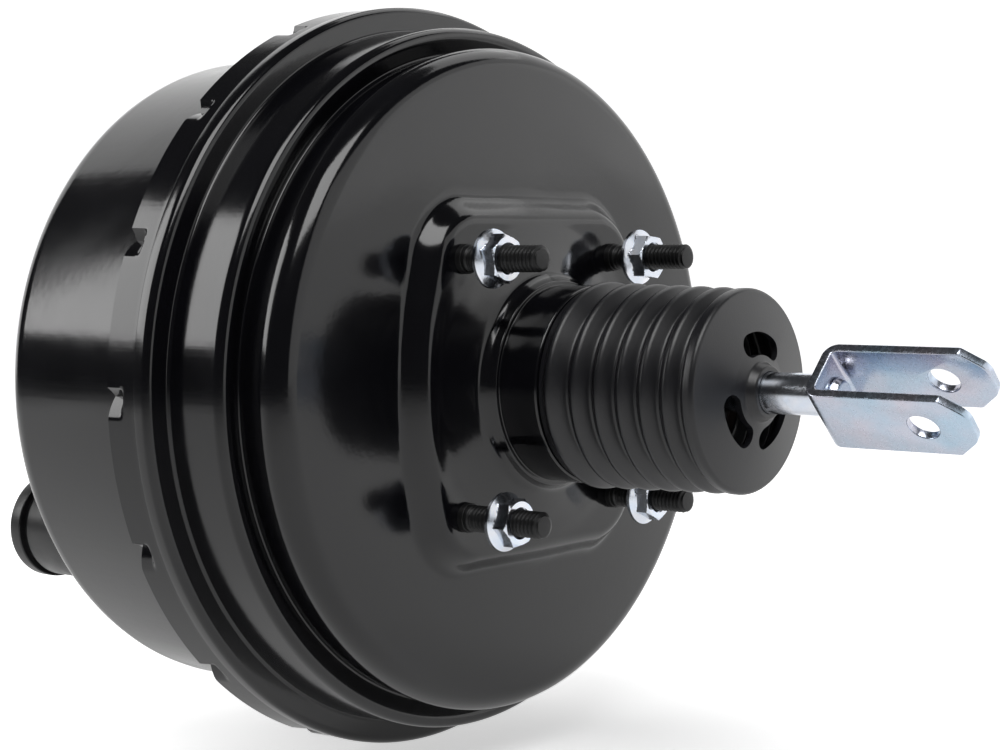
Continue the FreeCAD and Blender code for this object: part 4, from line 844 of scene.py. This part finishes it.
fork = make("pedal_fork", blank, fork_zinc)

drill = bmesh.new()
for place, radius in ((-along_strap(PIN_X), PIN_RADIUS), (0, EYE_RADIUS), (along_strap(PIN_X), PIN_RADIUS)):
    pin = bmesh.ops.create_cone(
        drill, cap_ends=True, segments=64, radius1=radius * MM, radius2=radius * MM, depth=8 * MM
    )
    bmesh.ops.translate(drill, verts=pin["verts"], vec=(place * MM, 0, 0))
combine(fork, drill, "pin_holes")

# %% Fork, edges and bends
EDGE_BEVEL = 0.45
BEND_STEPS = 10

strap = bmesh.new()
strap.from_mesh(fork.data)
bmesh.ops.remove_doubles(strap, verts=strap.verts[:], dist=0.01 * MM)
sharp = [edge for edge in strap.edges if edge.is_manifold and edge.calc_face_angle() > math.radians(60)]
bmesh.ops.bevel(
    strap, geom=sharp, offset=EDGE_BEVEL * MM, offset_type="OFFSET", segments=3, profile=0.5, affect="EDGES",
    material=-1,
)
for side in (-1, 1):
    for step in range(BEND_STEPS + 1):
        place = side * (BASE_HALF + BEND_ALONG * step / BEND_STEPS) * MM
        geometry = strap.verts[:] + strap.edges[:] + strap.faces[:]
        bmesh.ops.bisect_plane(strap, geom=geometry, plane_co=(place, 0, 0), plane_no=(1, 0, 0), dist=1e-7)


def bent(point):
    """Where a point of the flat blank goes: along the base, round the bend, then along an ear."""
    s, across, out = point / MM
    side = math.copysign(1, s)
    s = abs(s)
    if s <= BASE_HALF:
        x, y = FORK_BASE_X + STRAP / 2 - out, s
    elif s <= BASE_HALF + BEND_ALONG:
        turn = (s - BASE_HALF) / BEND_MIDDLE
        x = FORK_BASE_X + BEND - (BEND_MIDDLE + out) * math.cos(turn)
        y = BASE_HALF + (BEND_MIDDLE + out) * math.sin(turn)
    else:
        x, y = FORK_BASE_X + BEND + s - BASE_HALF - BEND_ALONG, FORK_OUTSIDE / 2 - STRAP / 2 + out
    return Vector((x, side * y, across)) * MM


for point in strap.verts:
    point.co = bent(point.co)
bmesh.ops.rotate(strap, verts=strap.verts[:], cent=(0, 0, 0), matrix=Matrix.Rotation(FORK_TURN, 3, "X"))
bmesh.ops.recalc_face_normals(strap, faces=strap.faces[:])
strap.to_mesh(fork.data)
strap.free()
for face in fork.data.polygons:
    face.use_smooth = True
fork.data.set_sharp_from_angle(angle=math.radians(35))
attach(fork, "clevis")
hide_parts("clevis")
print("fork:", len(fork.data.polygons), "faces")

# %% [markdown]
# The vacuum check valve sits in a rubber grommet in the front face, low on the near side: a round
# cup, a welded cover with a proud rim, and a barbed spout for the hose.

# %% Check valve
CHECK_Y = -63.0
CHECK_Z = -50.0
cup = turned([
    (-122.4, 4.5),
    (-122.4, 6.9, 0.3),
    (-126.4, 8.8, 0.3),
    (-126.4, 7.5),
    (-133.5, 7.5),
    (-133.5, 16.4, 1.5),
    (-153.8, 16.4, 0.4),
    (-153.8, 15.3, 0.2),
    (-156.4, 15.3),
    (-156.4, 14.4),
    (-135.5, 14.4),
    (-135.5, 4.5),
], 96)
move(cup, (0, CHECK_Y, CHECK_Z))
make("check_valve_cup", cup, valve_nylon, "housing", ["check_valve_body"])

spout_line = [
    (44.0, 3.1),
    (44.0, 4.4, 0.2),
    (40.1, 5.6, 0.2),
    (39.6, 5.6, 0.2),
    (39.6, 4.65),
    (35.7, 5.6, 0.2),
    (35.2, 5.6, 0.2),
    (35.2, 4.75),
    (15.4, 4.75),
    (15.4, 3.1),
]
spout = turned(spout_line, 64)
bmesh.ops.rotate(spout, verts=spout.verts[:], cent=(0, 0, 0), matrix=Matrix.Rotation(-math.pi / 2, 3, "Y"))
move(spout, (-146.5, CHECK_Y, CHECK_Z))
make("check_valve_spout", spout, valve_nylon, "housing")

lid = turned([
    (-156.4, 0),
    (-156.4, 17.3, 0.5),
    (-162.0, 17.3, 1.4),
    (-162.0, 12.0, 0.4),
    (-161.2, 11.4, 0.4),
    (-161.2, 0),
], 96)
move(lid, (0, CHECK_Y, CHECK_Z))
make("check_valve_lid", lid, valve_nylon, "housing", ["check_valve_cover"])

# %% [markdown]
# Two studs carry the master cylinder on the far side. They are cut like the firewall studs, with a
# metric pitch.

# %% Master cylinder studs
MASTER_Y = 42.86
master_corners = [
    (-128.9, 0),
    (-161.0, 0),
    (-161.0, 3.9, 0.2),
    (-160.0, 4.76, 0.2),
    (-136.0, 4.76),
    (-136.0, 5.2),
    (-131.9, 5.2),
    (-131.9, 8.0, 0.3),
    (-128.9, 8.0, 0.8),
]
master = [
    move(threaded_stud(master_corners, -161.0, -138.5, MASTER_PITCH, 0.8, -138.5), (0, y, 0))
    for y in (-MASTER_Y, MASTER_Y)
]
master_set = gather(master)
make("master_stud_set", master_set, phosphate, "housing", ["master_cylinder_studs"], crease=45)

# %% [markdown]
# Rubber diaphragms and coil springs change shape as the piston moves, which a stiff CAD solid can't.
# Each gets a piece of its own, a copy of the solid with its loose triangles merged.

# %% Diaphragms and springs
def soft_copy(node, name, material):
    bm = bmesh.new()
    bm.from_mesh(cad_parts[node].data)
    bmesh.ops.remove_doubles(bm, verts=bm.verts[:], dist=0.002 * MM)
    return make(name, bm, material, None, [node])


def spring(node, body):
    """A coil that rides on the body under its seat."""
    piece = soft_copy(node, f"{node}_coil", drawn_wire)
    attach(piece, body)
    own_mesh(piece)


for node, start_x, end_x in (("rear_diaphragm", -47.5, -16.0), ("front_diaphragm", -56.0, -64.0)):
    sheet = soft_copy(node, f"{node}_rubber", diaphragm_rubber)
    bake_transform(sheet)
spring("return_spring", "housing")
spring("check_valve_spring", "housing")
spring("rod_return_spring", "power_piston")

# %% [markdown]
# The pieces inside stay as the CAD made them and get the finishes of the real ones.

# %% Finishes of the inner pieces
inner_finishes = {
    plated_sheet: (
        "rear_reinforcement_plate", "front_reinforcement_plate", "center_plate", "rear_support_plate",
        "front_support_plate", "rear_plate_retainer", "front_plate_retainer", "output_rod_retainer",
        "stop_key", "spring_seat", "poppet_retainer",
    ),
    seal_rubber: (
        "neck_seal", "front_seal", "divider_seal", "reaction_disc", "poppet_valve", "check_valve_poppet",
    ),
    boot_rubber: ("check_valve_grommet",),
    phenolic: ("valve_body",),
    natural_nylon: ("neck_guide", "seal_washer"),
    machined_steel: ("plunger", "output_rod"),
    drawn_wire: ("poppet_spring",),
    felt: ("air_filter", "silencer"),
}
for material, names in inner_finishes.items():
    for name in names:
        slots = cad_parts[name].data.materials
        for index in range(len(slots)):
            slots[index] = material

# %% [markdown]
# The booster stands in a studio on a pale floor just under the rim, in front of a white backdrop, with
# a dark room behind the camera. A tall soft box on the left gives the long band down the shells, one
# behind on the right lights the dome, and two overhead give the shoulders and the boot their
# highlights. Black paint shows its form only by what it reflects, so the backdrop and the floor are
# white to the camera and to reflections, and send no light of their own onto the booster. In
# reflections the floor darkens towards the near side, so that the front shell's wall stays black
# beside its bright band. To the camera the floor's glow is weaker under the booster. This is painted
# shade there, on top of the lamps' own shadow.

# %% Soft boxes
def soft_box(name, place, aim, width, height, watts):
    """A rectangular area lamp at a place, pointing at aim, sizes in metres."""
    lamp = bpy.data.lights.new(name, "AREA")
    lamp.shape = "RECTANGLE"
    lamp.size, lamp.size_y, lamp.energy = width, height, watts
    holder = bpy.data.objects.new(name, lamp)
    holder.location = place
    holder.rotation_euler = (Vector(aim) - Vector(place)).to_track_quat("-Z", "Y").to_euler()
    bpy.context.scene.collection.objects.link(holder)
    return holder


soft_box("left_box", (-0.85, -0.76, 0.46), (-0.06, 0, 0), 0.55, 0.62, 4.8)
soft_box("back_box", (0.95, 1.15, 0.50), (-0.02, 0, 0.02), 1.1, 0.6, 0.9)
soft_box("overhead_box", (-0.05, 0.75, 1.05), (-0.04, 0, 0), 0.9, 0.6, 2.6)
soft_box("key_box", (0.50, -0.55, 1.05), (0.0, 0, 0), 0.9, 0.7, 11.0)

# %% Floor and backdrop
FLOOR_Z = -118.6 * MM
STUDIO_RADIUS = 3.0
BACKDROP_HEIGHT = 2.6
BACKDROP_START = -10
BACKDROP_SWEEP = 195
# Within these distances of the axis the floor glows less to the camera: painted shade under the booster.
PAINTED_SHADE_NEAR = 0.11
PAINTED_SHADE_FAR = 0.23
GLOSS_DARK_Y = -0.7
GLOSS_WHITE_Y = 0.6


def studio_piece(name, bm, base, camera_levels, glossy_levels):
    """A stage object lit for the camera by its distance and for reflections by its place along Y."""
    mesh = bpy.data.meshes.new(name)
    bm.to_mesh(mesh)
    bm.free()
    piece = bpy.data.objects.new(name, mesh)
    bpy.context.scene.collection.objects.link(piece)
    material, tree, shader, place = finish(f"{name}_paint", Base_Color=linear(base), Roughness=0.9)
    rays = add(tree, "ShaderNodeLightPath")
    reach = add(tree, "ShaderNodeVectorMath", {0: place}, operation="LENGTH")
    across = add(tree, "ShaderNodeSeparateXYZ", {"Vector": place})
    to_camera = between(tree, reach.outputs["Value"], *camera_levels, PAINTED_SHADE_NEAR, PAINTED_SHADE_FAR)
    to_gloss = between(tree, across.outputs["Y"], *glossy_levels, GLOSS_DARK_Y, GLOSS_WHITE_Y)
    seen = add(tree, "ShaderNodeMath", {0: rays.outputs["Is Camera Ray"], 1: to_camera}, operation="MULTIPLY")
    glow = add(
        tree,
        "ShaderNodeMath",
        {0: rays.outputs["Is Glossy Ray"], 1: to_gloss, 2: seen.outputs["Value"]},
        operation="MULTIPLY_ADD",
    )
    shader.inputs["Emission Color"].default_value = (1, 1, 1, 1)
    tree.links.new(glow.outputs["Value"], shader.inputs["Emission Strength"])
    mesh.materials.append(material)
    return piece


floor = bmesh.new()
bmesh.ops.create_circle(floor, cap_ends=True, segments=96, radius=STUDIO_RADIUS)
bmesh.ops.translate(floor, verts=floor.verts[:], vec=(0, 0, FLOOR_Z))
# The floor's camera glow rises from 0.5 near the booster to 1.0 further out, which paints shade under the
# booster.
studio_piece("studio_floor", floor, "#eeeeee", (0.5, 1.0), (0.0, 0.8))

backdrop = bmesh.new()
foot = backdrop.verts.new((STUDIO_RADIUS, 0, FLOOR_Z))
head = backdrop.verts.new((STUDIO_RADIUS, 0, FLOOR_Z + BACKDROP_HEIGHT))
edge = backdrop.edges.new((foot, head))
start = Matrix.Rotation(math.radians(BACKDROP_START), 3, "Z")
bmesh.ops.rotate(backdrop, verts=[foot, head], cent=(0, 0, 0), matrix=start)
sweep = math.radians(BACKDROP_SWEEP)
bmesh.ops.spin(backdrop, geom=[foot, head, edge], axis=(0, 0, 1), cent=(0, 0, 0), angle=sweep, steps=48)
studio_piece("studio_backdrop", backdrop, "#eeeeee", (1.0, 1.0), (1.0, 1.0))

# %% Room
ROOM_LEVEL = 0.04
world = bpy.data.worlds.new("studio")
bpy.context.scene.world = world
world.use_nodes = True
tree = world.node_tree
tree.nodes.clear()
rays = add(tree, "ShaderNodeLightPath")
level = between(tree, rays.outputs["Is Camera Ray"], ROOM_LEVEL, 1, 0, 1)
light = add(tree, "ShaderNodeBackground", {"Color": (1, 1, 1, 1), "Strength": level})
add(tree, "ShaderNodeOutputWorld", {"Surface": light.outputs["Background"]})
bpy.context.scene.view_settings.view_transform = "Standard"
